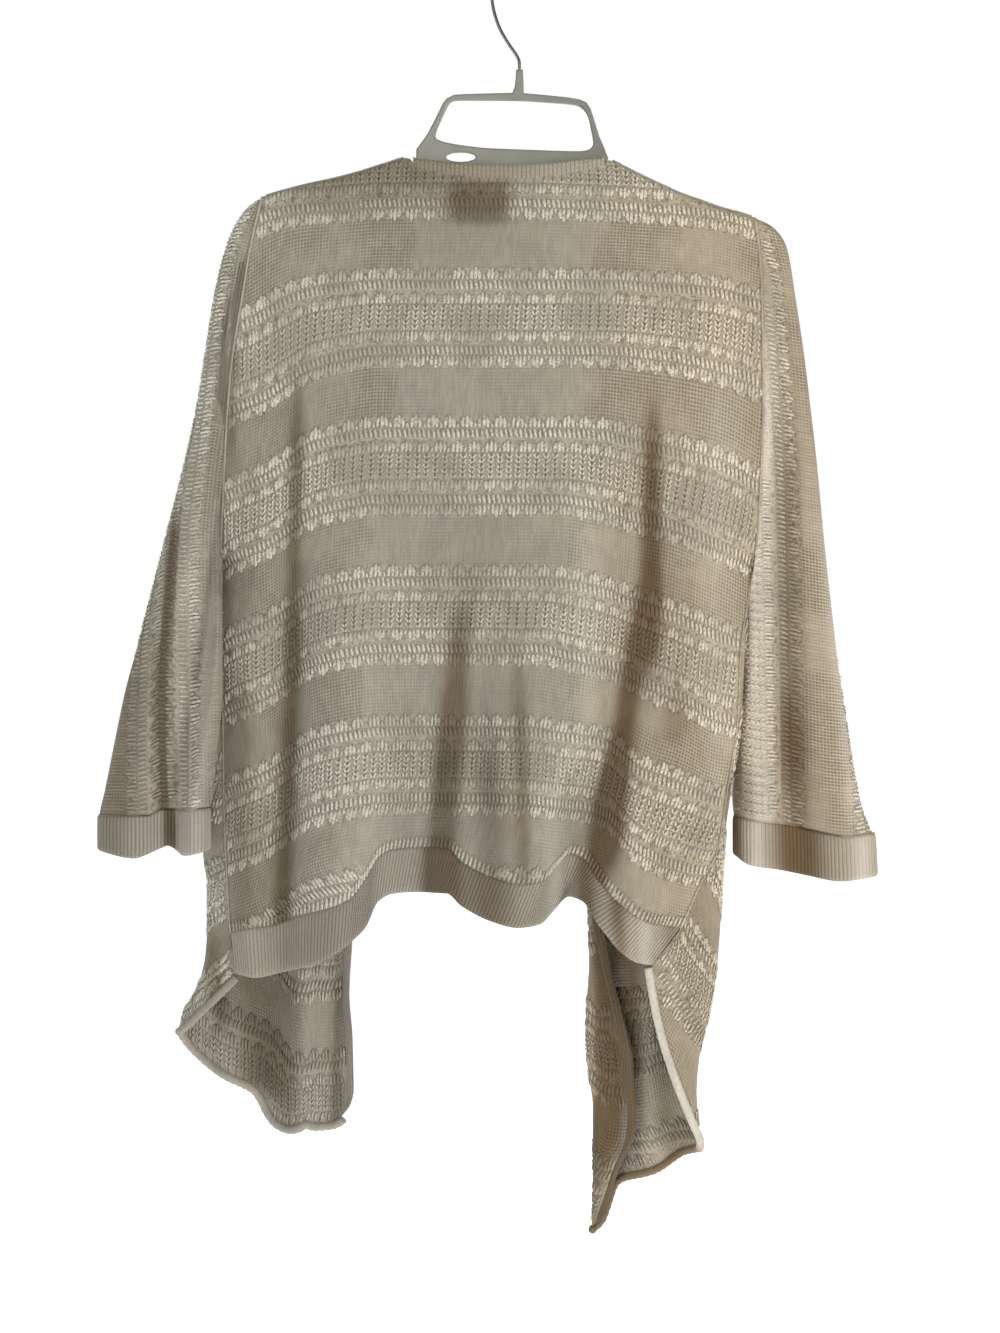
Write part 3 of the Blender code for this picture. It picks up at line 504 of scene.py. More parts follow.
HOOK_STEM = (
    # x, z
    (24.0, -32.0), (23.1, -38.0), (21.8, -44.2), (18.2, -55.3), (13.3, -64.6), (7.7, -73.1),
    (2.6, -80.4), (0.4, -85.0), (0.4, -91.8),
)
HOOK_END_ANGLE = -18.0
HOOK_START_ANGLE = 200.0

# Where the photo was taken from, in metres
VIEW_X = 0.017
VIEW_Z = -0.602
VIEW_DISTANCE = 2.4
VIEW_HEIGHT = 1.133
VIEW_PLANE_Y = 0.012
LIT_POINT = (0.0, 0.0, -0.6)
FLOOR_Z = -1.32
FLOOR_SIZE = 14.0


def blend(low, high, share):
    return low + (high - low) * share


def sample(field, i, j, s, t):
    """A grid's values between its points: s past row i and t past column j."""
    near = blend(field[i, j], field[i, j + 1], t)
    far = blend(field[i + 1, j], field[i + 1, j + 1], t)
    return blend(near, far, s)


def unit(vectors):
    return vectors / np.maximum(np.linalg.norm(vectors, axis=-1, keepdims=True), 1e-9)


def ease(share):
    """A smooth step from 0 to 1."""
    share = np.clip(share, 0.0, 1.0)
    return share * share * (3.0 - 2.0 * share)


def shade(name, points):
    """The shade painted into the cloth's colour at its points: 0 on the open cloth, 1 deep in a
    fold, and below 0 where a highlight is painted."""
    return np.clip(folds(SHADES[name], points[..., 0], points[..., 2]), -0.6, 1.0)


def round_up(share):
    """A quarter circle from 0 up to 1."""
    share = np.clip(share, 0.0, 1.0)
    return np.sqrt(1.0 - (1.0 - share) ** 2)


def curve(table, at, column=1):
    """A smooth curve through a table's first column and another one, with no overshoot."""
    rows = np.array(sorted(table), float)
    places, values = rows[:, 0], rows[:, column]
    steps = np.diff(values) / np.diff(places)
    slopes = np.concatenate([steps[:1], np.zeros(len(places) - 2), steps[-1:]])
    same_way = steps[:-1] * steps[1:] > 0
    both = np.where(same_way, steps[:-1] + steps[1:], 1.0)
    slopes[1:-1] = np.where(same_way, 2.0 * steps[:-1] * steps[1:] / both, 0.0)
    at = np.clip(np.asarray(at, float), places[0], places[-1])
    i = np.clip(np.searchsorted(places, at, side="right") - 1, 0, len(places) - 2)
    width = places[i + 1] - places[i]
    t = (at - places[i]) / width
    return (
        (2 * t**3 - 3 * t**2 + 1) * values[i]
        + (t**3 - 2 * t**2 + t) * width * slopes[i]
        + (3 * t**2 - 2 * t**3) * values[i + 1]
        + (t**3 - t**2) * width * slopes[i + 1]
    )


def folds(table, x, z):
    """The sum of soft troughs and ridges at x and z, each along a slanting line and fading out
    at both its ends."""
    total = np.zeros(np.broadcast(x, z).shape)
    for head_x, head_z, foot_x, foot_z, half_width, depth in table:
        along = (head_z - z) / (head_z - foot_z)
        line_x = blend(head_x, foot_x, np.clip(along, 0.0, 1.0))
        fade = ease(along / HEAD_FADE) * ease((1.0 + FOOT_FADE - along) / FOOT_FADE)
        total = total + depth * fade * np.exp(-(((x - line_x) / half_width) ** 2))
    return total


def on_neck(x):
    """1 over the neck opening and 0 on the shoulders."""
    return ease((NECK["left"] - x) / NECK_BLEND) * ease((x - NECK["right"]) / NECK_BLEND)


def top_z(x):
    """The back's top edge, along both shoulders and the neck."""
    within = (x < NECK["left"]) & (x > NECK["right"])
    return np.where(within, curve(NECK_LINE, x), curve(SHOULDER_LINE, x))


def seam_x(side, z):
    return curve(SEAM_LINE[side], z)


def seam_depth(z):
    """How far behind the middle plane the back's edge lies, on armhole and side seam."""
    armhole = ARMHOLE_DEPTH * round_up((z - UNDERARM_Z) / ARMHOLE_ROUND)
    side_seam = SIDE_SEAM_DEPTH * ease((UNDERARM_Z - z) / SIDE_SEAM_TURN)
    return np.where(z > UNDERARM_Z, armhole, side_seam)


def seam_inward(side, z, body=True):
    """The way into the cloth's thickness at a seam, the same for both pieces that meet there."""
    outward = OUTWARD[side]
    shoulder_z = SHOULDER_END[side][1]
    top = ease(1.0 - (shoulder_z - z) / SHOULDER_ROUND)
    near_underarm = ease(1.0 - (z - UNDERARM_Z) / ARMHOLE_ROUND)
    below = ease((UNDERARM_Z - z) / SIDE_SEAM_TURN)
    sideways = np.where(z > UNDERARM_Z, near_underarm, 1.0 - below)
    x = sideways * (-outward if body else outward)
    y = -(1.0 - top) * (1.0 - sideways)
    return unit(np.stack([x, y, -top], axis=-1))


def row_heights(side):
    """Heights of the rows on one edge of the back, shoulder to hem seam."""
    armhole = blend(SHOULDER_END[side][1], UNDERARM_Z, np.array(ARMHOLE_ROWS))
    below = blend(UNDERARM_Z, BACK_CORNER_Z[side], np.arange(1, SIDE_ROWS + 1) / SIDE_ROWS)
    return np.concatenate([armhole, below])


def back_depth(x, z, share):
    """The back's distance behind the middle plane. share runs 0 to 1 from right seam to left."""
    crown = 1.0 - np.abs(2.0 * share - 1.0) ** CROWN_POWER
    depth = blend(seam_depth(z), curve(BACK_DEPTH, z), crown)
    from_seam = ease(np.minimum(share, 1.0 - share) / SEAM_CALM)
    depth = depth + folds(BACK_FOLDS, x, z) * from_seam
    neck = on_neck(x)
    arch = round_up((curve(SHOULDER_LINE, x) - z) / SHOULDER_ROUND)
    return depth * blend(arch, 1.0, neck) + GAP / 2 * (1.0 - neck)


def back_points():
    """The back's outer points, rows from the top and columns from the right seam to the left."""
    share = np.linspace(0.0, 1.0, BACK_COLUMNS)[None, :]
    head = top_z(blend(SHOULDER_END["right"][0], SHOULDER_END["left"][0], share))
    corners = [seam_x(side, BACK_CORNER_Z[side]) for side in ("right", "left")]
    foot = curve(HEM_SEAM, blend(*corners, share))
    upper = blend(head, UNDERARM_Z, np.array(ARMHOLE_ROWS)[:, None])
    lower = blend(UNDERARM_Z, foot, np.arange(1, SIDE_ROWS + 1)[:, None] / SIDE_ROWS)
    z = np.concatenate([upper, lower])
    right_x = seam_x("right", row_heights("right")) + GAP / 2
    left_x = seam_x("left", row_heights("left")) - GAP / 2
    x = blend(right_x[:, None], left_x[:, None], share)
    y = back_depth(x, z, share)
    y[len(ARMHOLE_ROWS) - 1, [0, -1]] = GAP / 2
    return np.stack([x, y, z], axis=-1)


def normals(points, closed=False):
    """Unit normals of a grid of points, from its rows and columns."""
    down = np.gradient(points, axis=0)
    if closed:
        around = np.roll(points, -1, axis=1) - np.roll(points, 1, axis=1)
    else:
        around = np.gradient(points, axis=1)
    return unit(np.cross(down, around))


def back_inward(points):
    inward = normals(points)
    inward = inward * np.where(inward[..., 1:2] > 0, -1.0, 1.0)
    inward[:, 0] = seam_inward("right", points[:, 0, 2])
    inward[:, -1] = seam_inward("left", points[:, -1, 2])
    neck = on_neck(points[0, 1:-1, 0])
    inward[0, 1:-1] = unit(np.stack([np.zeros_like(neck), -neck, neck - 1.0], axis=-1))
    inward[-1] = levelled(inward[-1])
    return inward


def cut_corners(points, times=3):
    """A polyline with its corners rounded, ends kept."""
    for _ in range(times):
        near = 0.75 * points[:-1] + 0.25 * points[1:]
        far = 0.25 * points[:-1] + 0.75 * points[1:]
        middle = np.stack([near, far], axis=1).reshape(-1, points.shape[1])
        points = np.concatenate([points[:1], middle, points[-1:]])
    return points


def lengths_along(line):
    """The length along a polyline at each of its points."""
    steps = np.linalg.norm(np.diff(line, axis=0), axis=1)
    return np.concatenate([[0.0], np.cumsum(steps)])


def spaced(line, count, field=None):
    """count points at even spacing along a polyline, or the values there that go with it."""
    field = line if field is None else field
    lengths = lengths_along(line)
    at = np.linspace(0.0, lengths[-1], count)
    return np.stack([np.interp(at, lengths, field[:, i]) for i in range(3)], axis=-1)


def front_row(side, seam_z, fall, level):
    """One row of a front, from its seam round the body's side to the opening edge.

    fall is the share of the way from the shoulder to the underarm, and level the share of
    the way from the underarm to the hem.
    """
    seam = np.array([float(seam_x(side, seam_z)), float(seam_depth(seam_z)), seam_z])
    opening_head = OPENING_LINE[side][0][0]
    opening_foot = OPENING_LINE[side][-1][0]
    if level == 0.0:
        seam[1] = -seam[1] * float(round_up((SHOULDER_END[side][1] - seam_z) / SHOULDER_ROUND))
        opening_z = blend(opening_head, UNDERARM_Z + OPENING_RISE, fall)
        turn = seam.copy()
    else:
        opening_z = blend(UNDERARM_Z + OPENING_RISE, opening_foot, level)
        turn_z = blend(UNDERARM_Z, TURN_LINE[side][-1][0], level)
        turn = np.array([float(curve(TURN_LINE[side], turn_z)), seam[1], turn_z])
    depth = float(curve(FRONT_DEPTH, opening_z))
    rise = float(round_up((opening_head - opening_z) / SHOULDER_ROUND))
    tuck = OUTWARD[side] * SIDE_TUCK[side] * float(ease(level / TUCKED_BY))
    far_y = blend(seam[1], depth, min(1.0, FIRST_TURN + fall))
    far_turn = np.array([turn[0] - tuck, far_y, turn[2]])
    opening_x = float(curve(OPENING_LINE[side], opening_z))
    opening = np.array([opening_x, depth * rise - GAP / 2, opening_z])
    path = [seam, turn, far_turn, opening]
    if fall == 0.0:
        path = [seam, opening]
    width = float(curve(CURL, opening_z, 1))
    if side == "right" and width > 0.0:
        back_y = opening[1] + float(curve(CURL, opening_z, 2))
        path.append(np.array([opening[0], back_y, opening_z - 1.0]))
        path.append(np.array([opening[0] - width, back_y, opening_z - 3.0]))
    return spaced(cut_corners(np.array(path)), FRONT_COLUMNS)


def front_points(side):
    """A front's outer points, rows from the shoulder and columns from the seam."""
    outward = OUTWARD[side]
    heights = row_heights(side)
    more = np.linspace(BACK_CORNER_Z[side], FRONT_CORNER_Z[side], BAND_ROWS + 1)[1:]
    heights = np.concatenate([heights, more])
    last_fall = len(ARMHOLE_ROWS) - 1
    rows = []
    for i, seam_z in enumerate(heights):
        fall = ARMHOLE_ROWS[min(i, last_fall)]
        level = max(0, i - last_fall) / (len(heights) - 1 - last_fall)
        rows.append(front_row(side, seam_z, fall, level))
    points = np.array(rows)
    shoulder = points[0, :, 0]
    points[0, :, 2] = curve(SHOULDER_LINE, shoulder)
    along = (shoulder - shoulder[0]) / (shoulder[-1] - shoulder[0])
    bow = points[0, :, 2] - blend(points[0, 0, 2], points[0, -1, 2], along)
    for i in range(1, last_fall + 1):
        points[i, :, 2] += bow * (1.0 - ARMHOLE_ROWS[i]) ** 2
        arch = round_up((points[0, :, 2] - points[i, :, 2]) / SHOULDER_ROUND)
        points[i, 1:, 1] = points[i, 1:, 1] * arch[1:] - GAP / 2 * (1.0 - arch[1:])
    from_seam = ease(np.arange(FRONT_COLUMNS) / (FRONT_COLUMNS - 1) / FRONT_CALM)
    moved = folds(FRONT_FOLDS[side], points[..., 0], points[..., 2]) * from_seam
    points[..., 1] += np.where(points[..., 1] < FAR_LAYER, moved, 0.0)
    last = points[-1]
    passed = np.cumsum(last[:, 1] < 0.0) > 0
    wanted = np.where(passed, curve(FRONT_HEM[side], last[:, 0]), last[:, 2])
    below = np.maximum(0, np.arange(len(heights)) - last_fall) / (len(heights) - 1 - last_fall)
    points[..., 2] += (wanted - last[:, 2])[None, :] * (below**2)[:, None]
    near = np.clip((last[:, 2] - last[0, 2]) / (TURN_LINE[side][-1][0] - last[0, 2]), 0.0, 1.0)
    bowed = np.where(passed, 0.0, np.sin(np.pi * near)) * NEAR_HEM_BOW[side]
    points[..., 0] += bowed[None, :] * (below**2)[:, None]
    points[0, :, 1] = -GAP / 2
    points[: last_fall + 1, 0, 0] -= outward * GAP / 2
    turned = ease((UNDERARM_Z - heights[last_fall:]) / SIDE_SEAM_TURN)
    points[last_fall:, 0, 0] += outward * turned * GAP / 2
    points[last_fall:, 0, 1] -= (1.0 - turned) * GAP / 2
    return points


def front_inward(side, points):
    """The way into a front's thickness, towards the hollow between front and back."""
    vectors = normals(points) * OUTWARD[side]
    heights = points[:, 0, 2]
    edge = seam_inward(side, heights)
    edge[:, 1] *= np.where(heights > UNDERARM_Z + 0.01, -1.0, 1.0)
    vectors[:, 0] = edge
    vectors[0] = (0.0, 0.0, -1.0)
    return vectors


def sleeve_ring(side, step, shares):
    """Outer points of one section of a sleeve: up its back layer, then down its front layer."""
    rails = SLEEVE_RAILS[side]
    inner = np.array([float(curve(rails, step, i)) for i in (1, 2, 3)])
    outer = np.array([float(curve(rails, step, i)) for i in (4, 5, 6)])
    along = inner + (outer - inner) * shares[:, None]
    head = blend(SHOULDER_END[side][1], UNDERARM_Z, 1.0 - shares)
    start_x = seam_x(side, head)
    if step == 0.0:
        along[:, 0] = start_x
        along[:, 2] = head
    else:
        bow = start_x - blend(start_x[0], start_x[-1], shares)
        along[:, 0] += bow * (1.0 - step) ** 3
        level = ease((step - LEVELS_FROM) / (1.0 - LEVELS_FROM))
        along[:, 2] += (curve(CUFF_HEAD[side], shares) - along[:, 2]) * level
    lobes = curve(SLEEVE_LOBES[side], shares) * ease(step / LOBES_FULL_BY)
    start_half = seam_depth(head) * round_up((SHOULDER_END[side][1] - head) / SHOULDER_ROUND)
    outer_round = round_up((1.0 - shares) / blend(*ROUND_OUTER, step))
    full_half = float(curve(SLEEVE_HALF, step)) * round_up(shares / ROUND_INNER) * outer_round
    half = blend(start_half, full_half, ease(step / SLEEVE_OPEN_BY))
    back_layer = along + np.stack([0 * half, lobes + half, 0 * half], axis=-1)
    front_layer = along + np.stack([0 * half, lobes - half, 0 * half], axis=-1)
    return np.concatenate([back_layer, front_layer[-2:0:-1]])


def sleeve_points(side):
    """A sleeve's outer points, a row for each section from the armhole to the cuff."""
    shares = np.sort(1.0 - np.array(ARMHOLE_ROWS))
    points = np.array([sleeve_ring(side, step, shares) for step in SLEEVE_STEPS])
    points[0, :, 0] += OUTWARD[side] * GAP / 2
    points[-1, :, 2] += GAP / 2
    return points


def tube_inward(points):
    """The way into the thickness of a tube of rings."""
    vectors = normals(points, closed=True)
    middle = points.mean(axis=1, keepdims=True)
    turn = np.sign(np.sum(vectors * (middle - points), axis=(1, 2)))
    return vectors * np.where(turn == 0, 1.0, turn)[:, None, None]


def levelled(vectors):
    """The vectors without their height."""
    return unit(vectors * (1.0, 1.0, 0.0))


def beside(edge, inward, towards):
    """Ways that lie in the cloth and square to its edge, lengthened at the edge's corners."""
    ways = unit(np.cross(unit(np.gradient(edge, axis=0)), inward))
    ways *= np.sign(np.sum(ways * towards, axis=-1, keepdims=True))
    steps = unit(np.diff(edge, axis=0))
    bend = np.clip(np.sum(steps[1:] * steps[:-1], axis=-1), -0.5, 1.0)
    ways[1:-1] /= np.sqrt((1.0 + bend) / 2.0)[:, None]
    return ways


def droop(x, course):
    """How much lower a course hangs at x than at the middle of the back."""
    levels = np.array([row[0] for row in DROOP], float)
    layers = np.stack([curve(table, x) for _, table in DROOP])
    at = np.interp(course, levels, np.arange(len(levels)))
    i = np.minimum(at.astype(int), len(levels) - 2)
    low = np.take_along_axis(layers, i[None], axis=0)[0]
    high = np.take_along_axis(layers, i[None] + 1, axis=0)[0]
    return blend(low, high, at - i)


def back_courses(points):
    x, z = points[..., 0], points[..., 2]
    course = -z
    for _ in range(8):
        course = -z - droop(x, course)
    return course - BAND_PHASE["back"]


def front_courses(side, points):
    """Courses that run level at the chest and turn towards the hem's slope lower down."""
    hem, share = FRONT_TILT[side]
    z = points[..., 2]
    rows = len(z)
    below = (np.arange(rows) - len(ARMHOLE_ROWS)) / (rows - len(ARMHOLE_ROWS))
    turn = share * ease((below - TILTS_FROM) / (1.0 - TILTS_FROM))[:, None]
    return -z + turn * (hem + z[-1])[None, :] - BAND_PHASE[f"front_{side}"]


def sleeve_sheet(side):
    """A sleeve opened along its inner edge, and its courses. Its rows run from the front's inner
    edge over the outer edge to the back's inner edge, and its columns from armhole to cuff.

    A course is counted sideways from a line of lumps. The sleeve's round outer edge adds its
    own length, and a fold takes in what it hides.
    """
    rings = sleeve_points(side)
    count = len(ARMHOLE_ROWS)
    total = rings.shape[1]
    order = [0, *range(total - 1, count - 1, -1), *range(count - 1, -1, -1)]
    points = np.swapaxes(rings[:, order], 0, 1)
    outer_edge = total - count + 1
    x, z = points[..., 0] * OUTWARD[side], points[..., 2]
    edge_x = np.interp(-z, -z[outer_edge], x[outer_edge])
    behind = (np.arange(len(x)) < outer_edge)[:, None]
    reach = np.where(behind, 2.0 * edge_x - x, x)
    sideways = np.abs(np.diff(x, axis=0))
    around = np.hypot(sideways, np.diff(points[..., 1], axis=0)) - sideways
    shares = np.sort(1.0 - np.array(ARMHOLE_ROWS))
    shares = np.concatenate([shares[:-1], shares[::-1]])
    around *= (shares[1:] > ROUND_EDGE_FROM)[:, None]
    around = np.concatenate([np.cumsum(around[::-1], axis=0)[::-1], np.zeros((1, x.shape[1]))])
    past_fold = ease((curve(SLEEVE_FOLD, z) - x) / FOLD_WIDTH + 0.5) * ~behind
    deep = ease((FOLD_HEAD_Z - z) / FOLD_DEEPENS)
    hidden = FOLD_HIDES[side] * deep * (1.0 - past_fold)
    course = LUMPS_COURSE[side] + curve(SLEEVE_LUMPS[side], z)
    return points, course - reach - around - hidden


class Knit:
    """A surface's points, painted shade and outward normals, laid out by wale and course.

    origin is the column where the wale is 0. facing says for each course whether the outward
    side looks to the back (1) or to the front (-1).
    """

    def __init__(self, points, course, origin, facing, painted_shade):
        rows, columns = points.shape[:2]
        points = np.concatenate([points, painted_shade[..., None]], axis=-1)
        course = np.maximum.accumulate(course + np.arange(rows)[:, None] * 1e-6, axis=0)
        step = LATTICE_STEP
        self.courses = np.arange(math.ceil(course.min() / step) * step, course.max(), step)
        across = np.empty((len(self.courses), columns, 4))
        inside = np.empty(across.shape[:2], bool)
        for j in range(columns):
            at = np.interp(self.courses, course[:, j], np.arange(rows))
            i = np.minimum(at.astype(int), rows - 2)
            across[:, j] = blend(points[i, j], points[i + 1, j], (at - i)[:, None])
            inside[:, j] = (self.courses >= course[0, j]) & (self.courses <= course[-1, j])
        gaps = np.linalg.norm(np.diff(across[..., :3], axis=1), axis=-1) + 1e-6
        lengths = np.concatenate([np.zeros((len(gaps), 1)), np.cumsum(gaps, axis=1)], axis=1)
        self.lengths = lengths - lengths[:, origin : origin + 1]
        low, high = self.lengths.min(), self.lengths.max()
        self.wales = np.arange(math.ceil(low / step) * step, high, step)
        laid = np.empty((len(self.courses), len(self.wales), 4))
        self.good = np.empty(laid.shape[:2], bool)
        for k, line in enumerate(self.lengths):
            at = np.interp(self.wales, line, np.arange(columns))
            j = np.minimum(at.astype(int), columns - 2)
            laid[k] = blend(across[k, j], across[k, j + 1], (at - j)[:, None])
            within = (self.wales >= line[0]) & (self.wales <= line[-1])
            self.good[k] = within & inside[k, j] & inside[k, j + 1]
        self.points = laid[..., :3]
        self.painted_shade = laid[..., 3:]
        down, around = np.gradient(self.points, axis=(0, 1))
        normals = unit(np.cross(down, around))
        toward = facing(self.courses)[:, None] * normals[..., 1]
        self.turn = np.sign(np.sum(toward * self.good))
        self.normals = normals * self.turn

    def wale_of(self, course):
        """The wale of each point of the surface's own grid, from its course."""
        columns = range(course.shape[1])
        wale = [np.interp(course[:, j], self.courses, self.lengths[:, j]) for j in columns]
        return np.stack(wale, axis=1)

    def at(self, wale, course):
        """Points, normals and painted shade at wales and courses, and whether each is on the
        surface.
        """
        across = (wale - self.wales[0]) / LATTICE_STEP
        down = (course - self.courses[0]) / LATTICE_STEP
        rows, columns = self.good.shape
        i = np.clip(down.astype(int), 0, rows - 2)
        j = np.clip(across.astype(int), 0, columns - 2)
        on = (down >= 0) & (down < rows - 1) & (across >= 0) & (across < columns - 1)
        on &= self.good[i, j] & self.good[i + 1, j] & self.good[i, j + 1] & self.good[i + 1, j + 1]
        past = i, j, (down - i)[..., None], (across - j)[..., None]
        normals = unit(sample(self.normals, *past))
        return sample(self.points, *past), normals, sample(self.painted_shade, *past), on


def add_mesh(name, points, faces, material, knit=None):
    """A smooth mesh from points in millimetres and faces that all have as many corners."""
    data = bpy.data.meshes.new(name)
    corners = faces.shape[1]
    data.vertices.add(len(points))
    data.vertices.foreach_set("co", (points * MM).astype(np.float32).ravel())
    data.loops.add(faces.size)
    data.loops.foreach_set("vertex_index", faces.astype(np.int32).ravel())
    data.polygons.add(len(faces))
    starts = np.arange(len(faces), dtype=np.int32) * corners
    data.polygons.foreach_set("loop_start", starts)
    if knit is not None:
        layer = data.attributes.new("knit", "FLOAT_VECTOR", "POINT")
        layer.data.foreach_set("vector", knit.astype(np.float32).ravel())
    data.update(calc_edges=True)
    data.validate()
    data.shade_smooth()
    data.materials.append(material)
    obj = bpy.data.objects.new(name, data)
    bpy.context.scene.collection.objects.link(obj)
    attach(obj, "root")
    return obj


def grid_faces(rows, columns, closed=False):
    i = np.arange(rows - 1)[:, None]
    j = np.arange(columns if closed else columns - 1)[None, :]
    k = (j + 1) % columns
    row, below = i * columns, (i + 1) * columns
    return np.stack([row + j, row + k, below + k, below + j]).reshape(4, -1).T


def rod_faces(steps, sides):
    """Triangles of a strand of rings, closed by the two points that follow its rings."""
    quads = grid_faces(steps, sides, closed=True)
    last_ring = (steps - 1) * sides
    tip = steps * sides
    j = np.arange(sides)
    k = (j + 1) % sides
    return np.concatenate([
        quads[:, (0, 1, 2)],
        quads[:, (0, 2, 3)],
        np.stack([k, j, np.full(sides, tip)], axis=1),
        np.stack([last_ring + j, last_ring + k, np.full(sides, tip + 1)], axis=1),
    ])


def knit_vectors(wale, course, painted_shade=None):
    """Knit coordinates for a mesh's points: wale, course and the shade painted into its colour."""
    painted_shade = np.zeros_like(wale) if painted_shade is None else painted_shade
    return np.stack([wale, course, painted_shade], axis=-1).reshape(-1, 3)


def add_ground(name, points, course, knit, material, painted_shade):
    """The thin net that the stitches stand on."""
    down, around = np.gradient(points, axis=(0, 1))
    outward = unit(np.cross(down, around)) * knit.turn
    sunk = points - outward * GROUND_DEPTH
    faces = grid_faces(*points.shape[:2])
    if knit.turn < 0:
        faces = faces[:, ::-1]
    coordinates = knit_vectors(knit.wale_of(course), course, painted_shade)
    return add_mesh(name, sunk.reshape(-1, 3), faces, material, coordinates)


def strand_mesh(points, normals, half_width, half_height, sides):
    """Closed strands with pointed ends along rows of points: vertices and triangles."""
    count, steps = points.shape[:2]
    along = unit(np.gradient(points, axis=1))
    side = unit(np.cross(normals, along))
    swell = blend(STRAND_END, 1.0, np.sin(np.pi * np.linspace(0, 1, steps)))[None, :, None]
    turns = np.pi / 2 + np.arange(sides) * math.tau / sides
    wide, high = side * swell * half_width, normals * swell * half_height
    rings = [points + wide * math.cos(a) + high * math.sin(a) for a in turns]
    rings = np.stack(rings, axis=2).reshape(count, steps * sides, 3)
    reach = along * half_width * 0.8
    tips = np.stack([points[:, 0] - reach[:, 0], points[:, -1] + reach[:, -1]], axis=1)
    vertices = np.concatenate([rings, tips], axis=1)
    faces = rod_faces(steps, sides)
    offsets = np.arange(count)[:, None, None] * vertices.shape[1]
    return vertices.reshape(-1, 3), (faces[None] + offsets).reshape(-1, 3)


def join(parts):
    """One list of vertices, faces and painted shades from several."""
    vertices, faces, painted_shades, start = [], [], [], 0
    for points, corners, painted_shade in parts:
        vertices.append(points)
        faces.append(corners + start)
        painted_shades.append(painted_shade)
        start += len(points)
    return np.concatenate(vertices), np.concatenate(faces), np.concatenate(painted_shades)


def motif(knit, rng, pitch, first, centres, path, half_width, half_height, sides):
    """The strands of one motif, repeated along each course in centres."""
    low, high = knit.wales[0], knit.wales[-1]
    starts = first + pitch * np.arange(math.ceil((low - first) / pitch), (high - first) / pitch)
    wale, course = np.meshgrid(starts, centres)
    wale = wale + rng.uniform(-STRAY_WALE, STRAY_WALE, wale.shape)
    course = course + rng.uniform(-STRAY_COURSE, STRAY_COURSE, course.shape)
    path = np.array(path, float)
    wale = wale.reshape(-1, 1) + path[:, 0]
    course = course.reshape(-1, 1) + path[:, 1]
    points, normals, painted_shade, on = knit.at(wale, course)
    keep = on.all(axis=1)
    lift = rng.uniform(*STRAY_LIFT, (keep.sum(), 1, 1))
    facing = np.abs(normals[keep][..., 1:2]).mean(axis=1, keepdims=True)
    flatter = blend(EDGE_ON, 1.0, facing)
    raised = points[keep] + normals[keep] * lift * flatter
    vertices, faces = strand_mesh(raised, normals[keep], half_width, half_height * flatter, sides)
    painted_shades = np.repeat(painted_shade[keep].mean(axis=(1, 2)), len(vertices) // max(1, keep.sum()))
    return vertices, faces, painted_shades


def add_stitches(name, knit, material, sides=3, seed=1, last_band=math.inf):
    rng = np.random.default_rng(seed)
    low = math.floor(knit.courses[0] / REPEAT)
    high = min(math.ceil(knit.courses[-1] / REPEAT), last_band)
    middles = np.arange(low, high + 1) * REPEAT
    parts = []
    for pitch, first, half_width, half_height, path in STITCHES:
        for way in (1.0, -1.0):
            turned = [(wale * way, distance * way) for wale, distance in path]
            parts.append(
                motif(knit, rng, pitch, first, middles, turned, half_width, half_height, sides)
            )
    rows = (middles[:, None] + np.array(CHEVRON_ROWS)).ravel()
    for half_width, half_height, path in CHEVRONS:
        parts.append(
            motif(knit, rng, CHEVRON_PITCH, 0.0, rows, path, half_width, half_height, sides)
        )
    vertices, faces, painted_shades = join([part for part in parts if len(part[0])])
    flat = np.zeros_like(painted_shades)
    return add_mesh(name, vertices, faces, material, knit_vectors(flat, flat, painted_shades))


def add_tube(name, route, radius, sides, material, pitch=None, painted_shade=0.0):
    """A closed round tube along a route, with its length and turn as knit coordinates."""
    along = unit(np.gradient(route, axis=0))
    side = unit(np.cross(along, np.array([0.0, 1.0, 0.05])))
    up = np.cross(side, along)
    lengths = lengths_along(route)
    swell = np.ones(len(route))
    if pitch is not None:
        swell = 1.0 + PLY_SWELL * np.cos(lengths / pitch * math.tau)
    turns = np.arange(sides) * math.tau / sides
    rings = [
        route + (side * math.cos(a) + up * math.sin(a)) * radius * swell[:, None] for a in turns
    ]
    rings = np.stack(rings, axis=1).reshape(-1, 3)
    vertices = np.concatenate([rings, route[:1], route[-1:]])
    faces = rod_faces(len(route), sides)
    wale = np.repeat(lengths, sides)
    course = np.tile(turns * radius, len(route))
    wale, course = np.append(wale, [0.0, lengths[-1]]), np.append(course, [0.0, 0.0])
    painted_shades = np.broadcast_to(painted_shade, len(route))
    painted_shades = np.append(np.repeat(painted_shades, sides), [painted_shades[0], painted_shades[-1]])
    return add_mesh(name, vertices, faces, material, knit_vectors(wale, course, painted_shades))


def add_wall(name, outer, inner, material, coordinates, closed=False):
    """A closed wall between an outer and an inner grid of points."""
    rows, columns = outer.shape[:2]
    vertices = np.concatenate([outer.reshape(-1, 3), inner.reshape(-1, 3)])
    count = rows * columns
    skin = grid_faces(rows, columns, closed)
    faces = [skin, skin[:, ::-1] + count]
    j = np.arange(columns if closed else columns - 1)
    k = (j + 1) % columns
    for start in (0, (rows - 1) * columns):
        a, b = start + j, start + k
        rim = np.stack([a, a + count, b + count, b], axis=1)
        faces.append(rim if start == 0 else rim[:, ::-1])
    if not closed:
        i = np.arange(rows - 1)
        for start in (0, columns - 1):
            a, b = i * columns + start, (i + 1) * columns + start
            rim = np.stack([a, b, b + count, a + count], axis=1)
            faces.append(rim if start == 0 else rim[:, ::-1])
    both = np.concatenate([coordinates, coordinates])
    return add_mesh(name, vertices, np.concatenate(faces), material, both)


